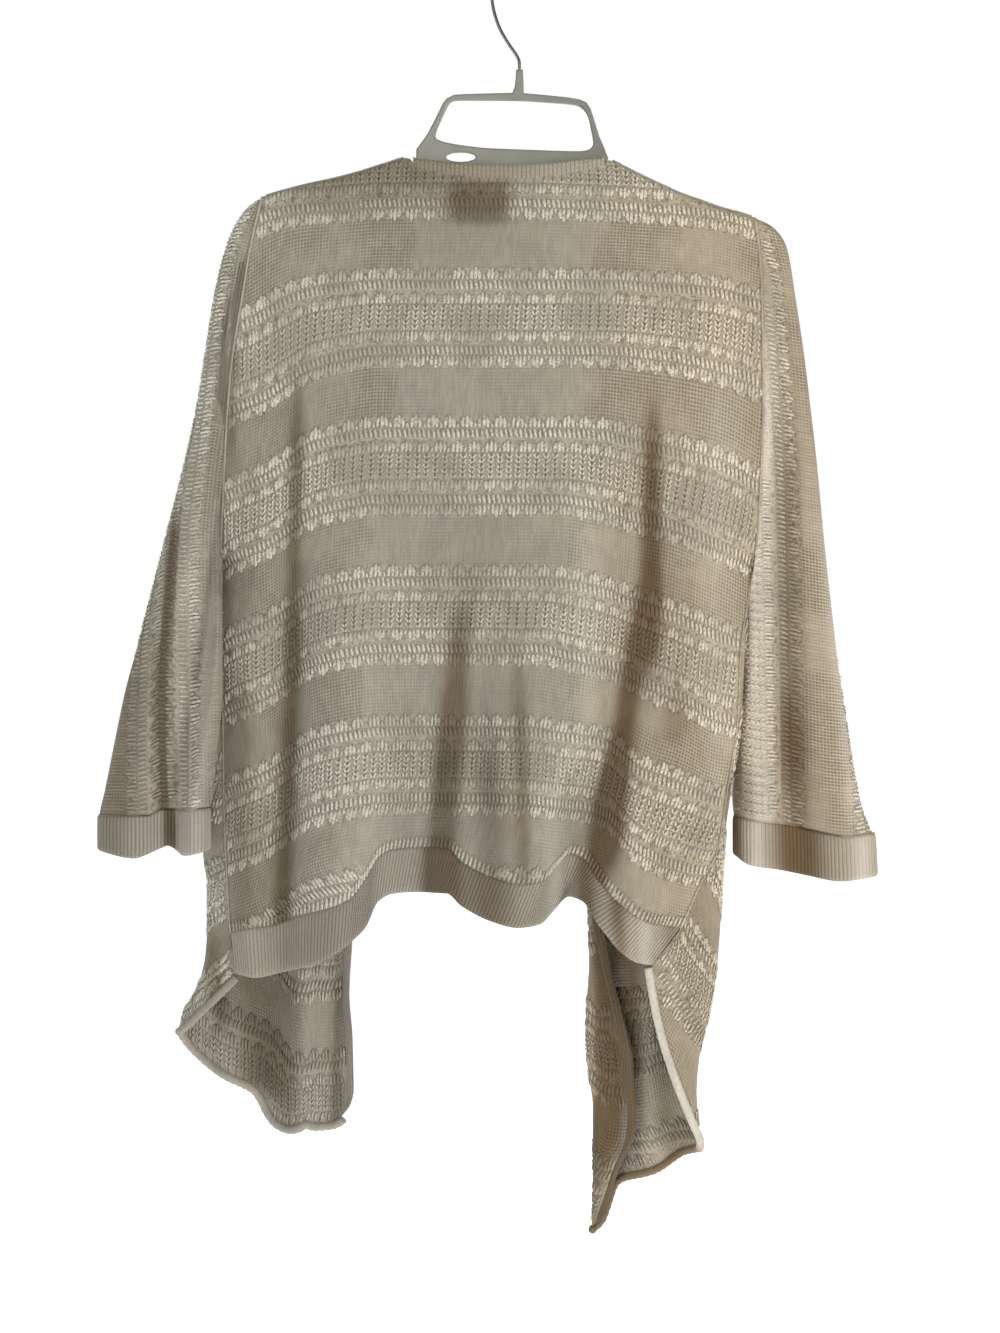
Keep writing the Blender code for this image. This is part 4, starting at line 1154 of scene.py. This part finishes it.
def ribbed(name, head, foot, inward, rows, material, painted_shade, closed=False):
    """A ribbed band from its head line to its foot line, a rib for each RIB_STEPS points."""
    columns = len(head)
    even = np.linspace(0.0, 1.0, rows)
    down = blend(even, ease(even), 0.4)
    rib = 0.5 - 0.5 * np.cos(np.arange(columns) * math.tau / RIB_STEPS)
    edge = np.minimum(down / RIB_ROUNDED[0], (1.0 - down) / RIB_ROUNDED[1])
    edge = np.sqrt(np.clip(edge, 0.0, 1.0))[:, None]
    proud = (RIB_FOOT + RIB_RISE * rib[None, :] ** 0.8) * edge
    middle = blend(head[None], foot[None], down[:, None, None])
    outer = middle - inward[None] * (proud - RIB_SUNK)[..., None]
    hollow = WALL + RIB_INSIDE * (edge * rib[None, :] - RIB_HOLLOW)
    inner = middle + inward[None] * hollow[..., None]
    lengths = np.arange(columns) * RIB_PITCH / RIB_STEPS
    height = np.linalg.norm(foot - head, axis=-1)
    wale = np.tile(lengths, (rows, 1))
    coordinates = knit_vectors(wale, down[:, None] * height[None, :], shade(painted_shade, middle))
    return add_wall(name, outer, inner, material, coordinates, closed)


def plain_strip(name, edge, across, width, inward, material, painted_shade, crosswise=False):
    """A narrow plain band beside an edge, slightly full in its middle, its stitches along it or
    across it."""
    shares = np.linspace(0.0, 1.0, 7)
    start = edge - across * BAND_TUCK
    middle = start[None] + across[None] * width[None, :, None] * shares[:, None, None]
    full = np.sin(np.pi * shares) ** 0.5
    outer = middle - inward[None] * (PLAIN_RISE * full - PLAIN_SUNK)[:, None, None]
    inner = middle + inward[None] * (BAND_WALL - PLAIN_SUNK * (1.0 - full))[:, None, None]
    over, along = shares[:, None] * width[None, :], np.tile(lengths_along(edge), (len(shares), 1))
    wale, course = (along, over) if crosswise else (over, along)
    coordinates = knit_vectors(wale, course, shade(painted_shade, middle))
    return add_wall(name, outer, inner, material, coordinates)


# The net's cream on the left side, and on the right side painted warmer and brighter as under warm
# light
NET_COOL = (0.305, 0.295, 0.245)
NET_WARM = (0.475, 0.40, 0.29)


class Shader:
    """Short names for building one material's nodes."""

    def __init__(self, name, roughness):
        self.material = bpy.data.materials.new(name)
        self.material.use_nodes = True
        self.tree = self.material.node_tree
        self.surface = self.tree.nodes["Principled BSDF"]
        self.surface.inputs["Roughness"].default_value = roughness
        self.surface.inputs["Specular IOR Level"].default_value = 0.25

    def node(self, kind, **settings):
        made = self.tree.nodes.new(kind)
        for name, value in settings.items():
            setattr(made, name, value)
        return made

    def put(self, socket, value):
        """Sets a socket to a number or a colour, or links it to another socket."""
        if isinstance(value, bpy.types.NodeSocket):
            self.tree.links.new(value, socket)
        elif isinstance(value, tuple):
            socket.default_value = (*value, 1.0)
        else:
            socket.default_value = value

    def math(self, operation, *values):
        made = self.node("ShaderNodeMath", operation=operation)
        for socket, value in zip(made.inputs, values):
            self.put(socket, value)
        return made.outputs[0]

    def times(self, first, second):
        return self.math("MULTIPLY", first, second)

    def line(self, value, slope, start):
        return self.math("MULTIPLY_ADD", value, slope, start)

    def most(self, first, second):
        return self.math("MAXIMUM", first, second)

    def away(self, value, middle):
        """How far a value is from a middle."""
        return self.math("ABSOLUTE", self.math("SUBTRACT", value, middle))

    def share(self, value, pitch):
        """How far a value is through its repeat, from 0 to 1."""
        return self.math("FRACT", self.math("DIVIDE", value, pitch))

    def oval(self, across, down):
        """0 in the middle of an oval and 1 on its rim, from the shares of its half sizes."""
        square = [self.math("POWER", part, 2.0) for part in (across, down)]
        return self.math("SQRT", self.math("ADD", *square))

    def fade(self, value, start, end):
        """A smooth step from 0 at start to 1 at end, whichever of the two is larger."""
        made = self.node("ShaderNodeMapRange", interpolation_type="SMOOTHSTEP")
        low, high = sorted((start, end))
        self.put(made.inputs["Value"], value)
        made.inputs["From Min"].default_value = low
        made.inputs["From Max"].default_value = high
        made.inputs["To Min"].default_value = 0.0 if end > start else 1.0
        made.inputs["To Max"].default_value = 1.0 if end > start else 0.0
        return made.outputs[0]

    def bell(self, value, middle, reach):
        """1 at the middle, falling smoothly to 0 at its reach."""
        return self.fade(self.away(value, middle), reach, reach * 0.4)

    def mix(self, share, first, second):
        made = self.node("ShaderNodeMix", data_type="RGBA")
        self.put(made.inputs[0], share)
        self.put(made.inputs[6], first)
        self.put(made.inputs[7], second)
        return made.outputs[2]

    def split(self, vector):
        made = self.node("ShaderNodeSeparateXYZ")
        self.put(made.inputs[0], vector)
        return made.outputs[0], made.outputs[1], made.outputs[2]

    def place(self):
        return self.node("ShaderNodeTexCoord").outputs["Object"]

    def knit(self):
        """Wale, course and the shade painted into the colour."""
        made = self.node("ShaderNodeAttribute", attribute_name="knit")
        return self.split(made.outputs["Vector"])

    def noise(self, scale, detail=2.0):
        made = self.node("ShaderNodeTexNoise")
        made.inputs["Scale"].default_value = scale
        made.inputs["Detail"].default_value = detail
        self.put(made.inputs["Vector"], self.place())
        return made.outputs[0]

    def streaks(self, across, along, share_across, share_along):
        """Noise drawn out along one of the knit's directions."""
        joined = self.node("ShaderNodeCombineXYZ")
        self.put(joined.inputs[0], self.times(across, share_across))
        self.put(joined.inputs[1], self.times(along, share_along))
        made = self.node("ShaderNodeTexNoise")
        made.inputs["Scale"].default_value = 1.0
        made.inputs["Detail"].default_value = 3.0
        self.put(made.inputs["Vector"], joined.outputs[0])
        return made.outputs[0]

    def painted_warm_light(self, cool, warm):
        """Painted warm light: from a greyer cream on the left side to a warmer, brighter one on the
        right.
        """
        x, _, _ = self.split(self.place())
        return self.mix(self.fade(x, 0.05, -0.2), cool, warm)

    def shaded(self, cloth, dark=(0.38, 0.28, 0.165), pale=(1.0, 0.965, 0.87)):
        """A colour darkened by the shade painted into its fold, browner on the right side than on
        the left, and lightened by a highlight painted where that shade is below 0.
        """
        _, _, painted_shade = self.knit()
        deep = self.node("ShaderNodeMix", data_type="RGBA", blend_type="MULTIPLY")
        self.put(deep.inputs[0], self.fade(painted_shade, 0.0, 1.0))
        self.put(deep.inputs[6], cloth)
        self.put(deep.inputs[7], self.painted_warm_light((0.44, 0.36, 0.27), dark))
        lit = self.times(self.fade(painted_shade, 0.0, -1.0), 0.55)
        return self.mix(lit, deep.outputs[2], pale)

    def bump(self, height, distance, strength=1.0):
        made = self.node("ShaderNodeBump")
        made.inputs["Distance"].default_value = distance
        made.inputs["Strength"].default_value = strength
        self.put(made.inputs["Height"], height)
        self.put(self.surface.inputs["Normal"], made.outputs[0])

    def colour(self, value):
        self.put(self.surface.inputs["Base Color"], value)

    def soften(self, amount):
        self.surface.inputs["Sheen Weight"].default_value = amount
        self.surface.inputs["Sheen Roughness"].default_value = 0.5


def net_material():
    """The fine net: open holes, hollows under the arches and lines where stitches sink in, all
    painted dark with shade.
    """
    s = Shader("knit_net", 0.9)
    wale, course, _ = s.knit()
    away = s.math("ABSOLUTE", s.math("WRAP", course, REPEAT / 2, -REPEAT / 2))
    tooth = s.times(s.away(s.share(wale, TOOTH), 0.5), 2.0)
    ragged = s.times(s.math("SUBTRACT", s.noise(520.0), 0.5), 1.4)

    # small holes, most of them in the plain mesh, painted dark with the shade inside them
    cell = [
        s.math("DIVIDE", s.math("SUBTRACT", s.share(value, pitch), 0.5), radius)
        for value, pitch, radius in ((wale, MESH_WALE, 0.30), (course, MESH_COURSE, 0.32))
    ]
    hole = s.fade(s.math("ADD", s.oval(*cell), ragged), 1.3, 0.75)
    in_mesh = s.fade(away, *MESH_BEGINS)
    stretched = s.fade(s.noise(16.0, 3.0), 0.42, 0.60)
    strength = s.times(s.line(in_mesh, 0.60, 0.25), s.line(stretched, 0.75, 0.25))
    hole = s.times(hole, strength)

    # pits under the arches, and specks beside the rows of stitches, painted dark with shade
    sideways = s.times(tooth, TOOTH / 2 / PIT_HALF_WIDTH)
    upright = s.math("DIVIDE", s.math("SUBTRACT", away, PIT_ROW), PIT_HALF_HEIGHT)
    pit = s.fade(s.math("ADD", s.oval(sideways, upright), ragged), 1.3, 0.5)
    pit = s.times(pit, s.fade(s.noise(70.0), 0.42, 0.62))
    near_row = s.most(*[s.bell(away, row, reach) for row, reach in SPECK_ROWS])
    speck = s.times(s.fade(s.noise(400.0, 1.0), 0.54, 0.64), near_row)
    pit = s.most(s.times(pit, 0.75), s.times(speck, 0.7))

    # grooves along the lumps' scalloped edge, the ladder, the arches' brim and the chevrons,
    # painted with shade
    scallop = s.line(tooth, -SCALLOP_DEPTH, SCALLOP_TIP)
    zigzag = s.fade(s.math("ABSOLUTE", s.math("SUBTRACT", away, scallop)), 3.0, 0.6)
    rung = s.fade(s.away(away, LADDER_ROW), 4.2, 3.0)
    brim = s.fade(s.away(away, BRIM_ROW), 0.8, 0.3)
    column = s.fade(s.away(s.share(wale, CHEVRON_PITCH), 0.5), 0.36, 0.46)
    column = s.times(column, s.fade(away, 13.0, 11.0))
    # the brim's painted shade comes and goes in patches
    patchy_shade_and_wear = s.fade(s.noise(60.0, 3.0), 0.35, 0.62)
    brim = s.times(brim, s.times(patchy_shade_and_wear, 0.5))
    groove = s.most(s.times(zigzag, 0.16), s.times(rung, 0.5))
    groove = s.most(groove, s.most(brim, column))

    cloth = s.painted_warm_light(NET_COOL, NET_WARM)
    cloth = s.mix(in_mesh, s.painted_warm_light((0.43, 0.415, 0.35), (0.57, 0.49, 0.365)), cloth)
    cloth = s.mix(s.times(s.noise(260.0, 4.0), 0.55), cloth, (0.27, 0.235, 0.165))
    drawn = s.fade(s.streaks(wale, course, 0.55, 0.05), 0.38, 0.62)
    cloth = s.mix(s.times(drawn, 0.22), cloth, (0.56, 0.52, 0.42))
    patchy = s.fade(s.streaks(wale, course, 0.09, 0.05), 0.40, 0.62)
    patch = s.painted_warm_light((0.24, 0.22, 0.175), (0.34, 0.27, 0.18))
    cloth = s.mix(s.times(patchy, 0.30), cloth, patch)
    # hollow is the painted shade in holes, pits and grooves; dark says how much of it each point
    # gets
    hollow = s.painted_warm_light((0.17, 0.15, 0.11), (0.19, 0.14, 0.085))
    dark = s.most(s.most(s.times(hole, 0.85), s.times(groove, 0.6)), pit)
    s.colour(s.shaded(s.mix(dark, cloth, hollow)))
    see_through = s.times(s.most(hole, s.times(pit, 0.5)), 0.14)
    s.put(s.surface.inputs["Alpha"], s.math("SUBTRACT", 1.0, see_through))

    across = s.math("SINE", s.times(wale, math.tau / MESH_WALE))
    down = s.math("SINE", s.times(course, math.tau / MESH_COURSE))
    relief = s.line(across, 0.25, s.times(down, 0.15))
    sunk = s.math("ADD", dark, s.times(s.noise(900.0), 0.4))
    s.bump(s.math("SUBTRACT", relief, sunk), 0.0007, 0.8)
    s.soften(0.15)
    return s.material


YARNS = {
    # name of the material, its cream on the left and on the right, where it is painted warmer as
    # under warm light, its dull cream, and its specks' scale and strength
    "yarn": (
        "raised_yarn", (0.64, 0.615, 0.53), (0.81, 0.72, 0.56), (0.42, 0.405, 0.335), 520.0, 1.0,
    ),
    "wrong": (
        "wrong_side_yarn", (0.56, 0.55, 0.48), (0.58, 0.50, 0.38), (0.36, 0.345, 0.29), 520.0, 1.0,
    ),
    "seam": (
        "seam_yarn", (0.42, 0.40, 0.33), (0.56, 0.47, 0.34), (0.36, 0.33, 0.26), 520.0, 1.0,
    ),
    "rolled": (
        "rolled_hem", (0.52, 0.52, 0.50), (0.70, 0.65, 0.55), (0.52, 0.50, 0.44), 300.0, 0.3,
    ),
}
RIBS = {
    # name of the material, its cream on the left and on the right, where it is painted warmer as
    # under warm light, pitch of its ribs and length of a chain stitch
    "rib": ("rib_knit", (0.42, 0.405, 0.35), (0.56, 0.49, 0.375), RIB_PITCH, 2.6),
    "band": ("band_knit", (0.47, 0.46, 0.42), (0.56, 0.50, 0.405), 2.9, 2.8),
    "neck": ("neck_knit", (0.46, 0.44, 0.36), (0.58, 0.52, 0.40), 3.8, 3.6),
}


def yarn_material(name, cool, warm, dull, speckle, spots):
    """Raised yarn, paler than the net and duller in patches from place to place. In the folds it is
    painted towards the net's colour and darkened with the fold's painted shade."""
    s = Shader(name, 0.82)
    cloth = s.painted_warm_light(cool, warm)
    dull = s.painted_warm_light(dull, tuple(0.25 * a + 0.5 * b for a, b in zip(dull, warm)))
    cloth = s.mix(s.fade(s.noise(22.0, 3.0), 0.40, 0.66), cloth, dull)
    fibres = s.noise(speckle, 4.0)
    spotted = s.times(s.fade(fibres, 0.55, 0.35), spots)
    cloth = s.mix(spotted, cloth, (0.33, 0.295, 0.225))
    _, _, painted_shade = s.knit()
    # painted shade: deep in a fold the stitches are painted towards the net's colour
    sunk = s.times(s.fade(painted_shade, 0.15, 1.0), 0.7)
    cloth = s.mix(sunk, cloth, s.painted_warm_light(NET_COOL, NET_WARM))
    s.colour(s.shaded(cloth))
    s.bump(fibres, 0.0006, 0.7)
    s.soften(0.25)
    return s.material


def rib_material(name, cool, warm, pitch, chain):
    """Ribs and bands: small chained stitches along each rib, with shade painted dark between them.
    """
    s = Shader(name, 0.85)
    wale, course, _ = s.knit()
    from_middle = s.away(s.share(wale, pitch), 0.5)
    slanted = s.line(from_middle, 2.2, s.math("DIVIDE", course, chain))
    gap = s.fade(s.away(s.math("FRACT", slanted), 0.5), 0.22, 0.48)
    between = s.fade(from_middle, 0.3, 0.48)
    fibres = s.noise(600.0, 4.0)
    # painted shade in the gaps between stitches and in the hollows between ribs
    dark = s.most(s.times(gap, 0.45), s.times(between, 0.7))
    dark = s.line(s.fade(fibres, 0.5, 0.3), 0.2, dark)
    cloth = s.painted_warm_light(cool, warm)
    cloth = s.mix(s.times(s.noise(30.0, 3.0), 0.5), cloth, (0.34, 0.305, 0.24))
    s.colour(s.shaded(s.mix(dark, cloth, (0.17, 0.14, 0.10))))
    s.bump(s.math("SUBTRACT", s.times(fibres, 0.3), dark), 0.0008, 0.8)
    s.soften(0.2)
    return s.material


def plastic_material():
    s = Shader("clear_plastic", 0.12)
    s.surface.inputs["Base Color"].default_value = (0.27, 0.27, 0.235, 1.0)
    s.surface.inputs["Transmission Weight"].default_value = 0.6
    s.surface.inputs["IOR"].default_value = 1.46
    s.surface.inputs["Specular IOR Level"].default_value = 0.5
    s.put(s.surface.inputs["Roughness"], s.fade(s.noise(60.0, 3.0), -0.5, 1.8))
    s.bump(s.noise(40.0), 0.0004, 0.3)
    return s.material


def steel_material():
    s = Shader("hook_wire", 0.35)
    s.surface.inputs["Metallic"].default_value = 1.0
    s.surface.inputs["Specular IOR Level"].default_value = 0.5
    patchy_shade_and_wear = s.fade(s.noise(120.0, 4.0), 0.35, 0.7)
    s.colour(s.mix(patchy_shade_and_wear, (0.30, 0.29, 0.28), (0.16, 0.15, 0.145)))
    s.put(s.surface.inputs["Roughness"], s.line(patchy_shade_and_wear, 0.2, 0.25))
    return s.material


def label_material(bar_low, bar_high):
    """Plain woven label with one plain dark bar across it."""
    s = Shader("blank_label", 0.7)
    _, _, z = s.split(s.place())
    weave = s.noise(900.0, 2.0)
    cloth = s.mix(weave, (0.74, 0.70, 0.60), (0.58, 0.54, 0.45))
    above, below = s.fade(z, bar_low - MM, bar_low), s.fade(z, bar_high + MM, bar_high)
    s.colour(s.mix(s.times(above, below), cloth, (0.03, 0.03, 0.035)))
    s.bump(weave, 0.0003, 0.4)
    return s.material


def build_back(materials):
    points = back_points()
    course = back_courses(points)
    # the shade painted into the back's colour in its folds
    painted_shade = shade("back", points)
    knit = Knit(points, course, BACK_COLUMNS // 2, np.ones_like, painted_shade)
    ground = add_ground("back_net", points, course, knit, materials["net"], painted_shade)
    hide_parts("back")
    stitches = add_stitches("back_stitches", knit, materials["yarn"], sides=4, seed=11)

    inward = back_inward(points)
    head = points[-1] + (0.0, 0.0, 1.0)
    share = np.linspace(0.0, 1.0, BACK_COLUMNS)
    corners = [float(seam_x(side, FRONT_CORNER_Z[side])) for side in ("right", "left")]
    foot = head.copy()
    foot[:, 0] = blend(corners[0] + GAP / 2, corners[1] - GAP / 2, share)
    foot[:, 2] = curve(HEM_FOOT, foot[:, 0])
    count = round(lengths_along(head)[-1] / RIB_PITCH) * RIB_STEPS + 1
    fine = [spaced(head, count, field) for field in (head, foot, inward[-1])]
    rib = ribbed("back_hem_rib", *fine[:2], unit(fine[2]), 14, materials["rib"], "hem_rib")
    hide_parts("hem_rib")
    link = linking_row(points, "back_link_row", materials["yarn"])

    within = (points[0, :, 0] < NECK["left"] - 2.0) & (points[0, :, 0] > NECK["right"] + 2.0)
    edge = points[0, within]
    height = curve(NECK_BAND_HEIGHT, edge[:, 0])
    across = np.broadcast_to(np.array([0.0, 0.0, 1.0]), edge.shape)
    ways = np.broadcast_to(np.array([0.0, -1.0, 0.0]), edge.shape)
    band = plain_strip(
        "neck_band_knit", edge, across, height, ways, materials["neck"], "back", crosswise=True
    )
    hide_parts("neck_band")
    return points


def linking_row(points, name, material, low=2.0, high=9.5, pitch=4.1):
    """A row of upright stitches just above the back's last row, from low to high above it."""
    rows = len(points)
    along = spaced(points[-1], round(lengths_along(points[-1])[-1] / pitch))
    columns = np.interp(along[:, 0], points[-1, :, 0], np.arange(points.shape[1]))
    j = np.minimum(columns.astype(int), points.shape[1] - 2)
    t = (columns - j)[:, None]
    near = 5
    fall = np.linalg.norm(points[-1] - points[-1 - near], axis=-1) / near
    fall = np.interp(columns, np.arange(points.shape[1]), fall)
    picked, ways = [], []
    outward = -back_inward(points)
    for distance in np.linspace(low, high, 3):
        row = rows - 1 - distance / fall
        i = np.minimum(row.astype(int), rows - 2)
        s = (row - i)[:, None]
        picked.append(sample(points, i, j, s, t))
        ways.append(sample(outward, i, j, s, t))
    strands = strand_mesh(np.stack(picked, axis=1), unit(np.stack(ways, axis=1)), 1.3, 1.5, 4)
    flat = np.zeros(len(strands[0]))
    link = add_mesh(name, *strands, material, knit_vectors(flat, flat, shade("back", strands[0])))
    return link


def build_front(side, materials):
    outward = OUTWARD[side]
    points = front_points(side)
    course = front_courses(side, points)
    # the shade painted into the front's colour in its folds
    painted_shade = shade(f"front_{side}", points)
    knit = Knit(points, course, FRONT_COLUMNS - 1, lambda courses: -np.ones_like(courses), painted_shade)
    ground = add_ground(f"front_net_{side}", points, course, knit, materials["net"], painted_shade)
    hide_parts(f"front_{side}")
    seed = 21 if side == "left" else 22
    stitches = add_stitches(f"front_stitches_{side}", knit, materials["yarn"], seed=seed)

    inward = front_inward(side, points)
    hidden = Knit(points + inward * 1.6, course, FRONT_COLUMNS - 1, np.ones_like, painted_shade)
    name = f"front_wrong_side_{side}"
    wrong_side = add_stitches(name, hidden, materials["wrong"], seed=seed + 20)
    first = np.searchsorted(ARMHOLE_ROWS, 0.0135)
    edge = points[first:, -1]
    across = unit(edge - points[first:, -2])
    width = np.full(len(edge), BAND_WIDTH)
    name = f"front_band_{side}"
    band = plain_strip(
        f"front_band_knit_{side}", edge, across, width, inward[first:, -1], materials["band"], name
    )
    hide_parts(f"front_band_{side}")

    below = beside(points[-1], inward[-1], points[-1] - points[-2])
    route = points[-1] + inward[-1] * WALL / 2 + unit(below) * (BINDING_RADIUS + 2 * GAP)
    route = spaced(cut_corners(route, 3), 170)[1:-3]
    past_turn = np.arange(len(route)) - np.argmax(route[:, 0] * outward)
    past_turn = ease(past_turn / ROLL_CHANGES_OVER + 0.5)
    # the shade painted along the rolled hem
    painted_shade = blend(*ROLL_SHADES[side], past_turn)
    roll = add_tube(
        f"front_hem_roll_{side}", route, ROLL_RADIUS, 12, materials["rolled"], pitch=6.0, painted_shade=painted_shade
    )
    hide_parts(f"hem_binding_{side}")


def build_sleeve(side, materials):
    points, course = sleeve_sheet(side)
    # the shade painted into the sleeve's colour in its folds
    painted_shade = shade(f"sleeve_{side}", points)
    cuff_end = points.shape[1] - 1
    edge = OUTER_EDGE_COURSE[side]
    knit = Knit(points, course, cuff_end, lambda courses: np.sign(courses - edge), painted_shade)
    ground = add_ground(f"sleeve_net_{side}", points, course, knit, materials["net"], painted_shade)
    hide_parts(f"sleeve_{side}")
    seed = 31 if side == "left" else 32
    stitches = add_stitches(
        f"sleeve_stitches_{side}", knit, materials["yarn"], seed=seed,
        last_band=LAST_SLEEVE_BAND[side],
    )

    ring = sleeve_points(side)[-1]
    ring = np.concatenate([ring, ring[:1]])
    ribs = round(lengths_along(ring)[-1] / RIB_PITCH)
    head = spaced(ring, ribs * RIB_STEPS + 1)[:-1]
    inner_x, outer_x = CUFF_ENDS[side]
    start_x = SLEEVE_RAILS[side][-1][1]
    end_x = SLEEVE_RAILS[side][-1][4]
    across = (head[:, 0] - start_x) / (end_x - start_x)
    foot = head.copy()
    foot[:, 0] = blend(inner_x, outer_x, across)
    foot[:, 2] = curve(CUFF_FOOT[side], across)
    head[:, 2] -= GAP
    inward = levelled(tube_inward(np.stack([head, foot])))[0]
    name = f"cuff_{side}"
    cuff = ribbed(f"cuff_rib_{side}", head, foot, inward, 12, materials["rib"], name, closed=True)
    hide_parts(f"cuff_{side}")


def build_seams(materials):
    """Thin stitched ridges over the armhole, shoulder and side seams."""
    for side in SIDES:
        outward = OUTWARD[side]
        heights = row_heights(side)
        x = seam_x(side, heights)
        depth = seam_depth(heights)
        armhole = heights > UNDERARM_Z + 4.0
        top = np.searchsorted(-heights, -(SHOULDER_END[side][1] - 2.0))
        for face, name in ((1.0, "back"), (-1.0, "front")):
            arch = round_up((SHOULDER_END[side][1] - heights) / SHOULDER_ROUND)
            route = np.stack([x, face * depth * arch, heights], axis=-1)[armhole][top:]
            piece = f"armhole_seam_{name}_{side}"
            seam = add_tube(piece, route, 1.0, 6, materials["seam"], pitch=3.6)
        below = heights < UNDERARM_Z - 6.0
        route = np.stack([x + outward * 0.1, depth, heights], axis=-1)[below]
        seam = add_tube(f"side_seam_{side}", route, 0.8, 6, materials["seam"], pitch=3.6)
        ends = (SHOULDER_END[side][0] - outward * 2.0, NECK[side] + outward * 3.0)
        x = np.linspace(*ends, 60)
        route = np.stack([x, np.zeros_like(x), curve(SHOULDER_LINE, x) - 0.4], axis=-1)
        seam = add_tube(f"shoulder_seam_{side}", route, 1.0, 6, materials["seam"], pitch=3.6)


def build_label(points, materials):
    """A blank label inside the back neck, a slab on the cloth's inner side."""
    top, bottom = LABEL_ROWS
    shares = np.array(ARMHOLE_ROWS)
    rows = (shares >= top - 1e-6) & (shares <= bottom + 1e-6)
    first = np.argmax(rows)
    last = first + rows.sum() - 1
    columns = (points[0, :, 0] > LABEL_SPAN[0]) & (points[0, :, 0] < LABEL_SPAN[1])
    patch = points[first : last + 1, columns]
    inward = back_inward(points)[first : last + 1, columns]
    outer = patch + inward * (WALL + GAP)
    inner = outer + inward * LABEL_WALL
    flat = knit_vectors(patch[..., 0], patch[..., 2])
    label = add_wall("neck_label_plain", outer, inner, materials["label"], flat)
    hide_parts("neck_label")
    return label


def build_hanger(materials):
    body = bpy.data.objects["hanger_body"]
    body.material_slots[0].material = materials["plastic"]
    centre_z = ROD_TO_WIRE_CENTRE - HOOK_RADIUS
    angles = np.radians(np.linspace(HOOK_END_ANGLE, HOOK_START_ANGLE, 60))[:-1]
    x, z = -HOOK_RADIUS * np.cos(angles), centre_z + HOOK_RADIUS * np.sin(angles)
    loop = np.stack([x, 0 * angles, z], axis=-1)
    stem = np.array([(x, 0.0, z) for x, z in HOOK_STEM])
    route = spaced(cut_corners(np.concatenate([loop, stem]), 2), 150)
    hook = add_tube("hook_wire", route, WIRE_RADIUS, 16, materials["steel"])
    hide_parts("hanger_hook")


def build_stage():
    data = bpy.data.meshes.new("floor")
    turns = ((-1, -1), (1, -1), (1, 1), (-1, 1))
    corners = [(x * FLOOR_SIZE, y * FLOOR_SIZE, FLOOR_Z) for x, y in turns]
    data.from_pydata(corners, [], [(0, 1, 2, 3)])
    floor = bpy.data.objects.new("floor", data)
    bpy.context.scene.collection.objects.link(floor)
    material = bpy.data.materials.new("pale_floor")
    material.use_nodes = True
    surface = material.node_tree.nodes["Principled BSDF"]
    surface.inputs["Base Color"].default_value = (0.86, 0.86, 0.86, 1.0)
    surface.inputs["Roughness"].default_value = 0.9
    surface.inputs["Emission Color"].default_value = (1.0, 1.0, 1.0, 1.0)
    surface.inputs["Emission Strength"].default_value = 1.0
    data.materials.append(material)

    world = bpy.data.worlds.new("pale_room")
    world.use_nodes = True
    tree = world.node_tree
    background = tree.nodes["Background"]
    background.inputs["Color"].default_value = (0.93, 0.95, 1.0, 1.0)
    background.inputs["Strength"].default_value = 0.25
    seen = tree.nodes.new("ShaderNodeBackground")
    seen.inputs["Color"].default_value = (1.0, 1.0, 1.0, 1.0)
    seen.inputs["Strength"].default_value = 1.0
    path = tree.nodes.new("ShaderNodeLightPath")
    mix = tree.nodes.new("ShaderNodeMixShader")
    tree.links.new(path.outputs["Is Camera Ray"], mix.inputs[0])
    tree.links.new(background.outputs[0], mix.inputs[1])
    tree.links.new(seen.outputs[0], mix.inputs[2])
    tree.links.new(mix.outputs[0], tree.nodes["World Output"].inputs[0])
    bpy.context.scene.world = world


def look_at(obj, target):
    direction = np.array(target) - np.array(obj.location)
    obj.rotation_euler = mathutils.Vector(direction).to_track_quat("-Z", "Y").to_euler()


def add_light(name, place, size, power, colour):
    data = bpy.data.lights.new(name, "AREA")
    data.size = size
    data.energy = power
    data.color = colour
    light = bpy.data.objects.new(name, data)
    light.location = place
    bpy.context.scene.collection.objects.link(light)
    look_at(light, LIT_POINT)


def build_lights():
    add_light("key", (1.3, 1.5, 0.9), 0.8, 14.0, (1.0, 0.98, 0.95))
    add_light("fill", (-1.7, 1.5, -0.1), 1.0, 18.5, (1.0, 0.92, 0.80))
    add_light("front", (0.6, -2.0, 0.6), 1.6, 17.0, (1.0, 0.97, 0.93))


def build_camera():
    data = bpy.data.cameras.new("camera")
    data.sensor_fit = "VERTICAL"
    data.sensor_height = 36.0
    data.lens = data.sensor_height * (VIEW_DISTANCE - VIEW_PLANE_Y) / VIEW_HEIGHT
    data.clip_end = 100.0
    camera = bpy.data.objects.new("camera", data)
    camera.location = (VIEW_X, VIEW_DISTANCE, VIEW_Z)
    bpy.context.scene.collection.objects.link(camera)
    look_at(camera, (VIEW_X, 0.0, VIEW_Z))
    bpy.context.scene.camera = camera
    bpy.context.scene.view_settings.view_transform = "Standard"


def main():
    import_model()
    build_camera()
    build_lights()
    build_stage()
    materials = {key: yarn_material(*row) for key, row in YARNS.items()}
    materials |= {key: rib_material(*row) for key, row in RIBS.items()}
    materials |= {
        "net": net_material(),
        "plastic": plastic_material(),
        "steel": steel_material(),
        "label": label_material(*LABEL_BAR),
    }
    build_label(build_back(materials), materials)
    for side in SIDES:
        build_front(side, materials)
        build_sleeve(side, materials)
    build_seams(materials)
    build_hanger(materials)


main()
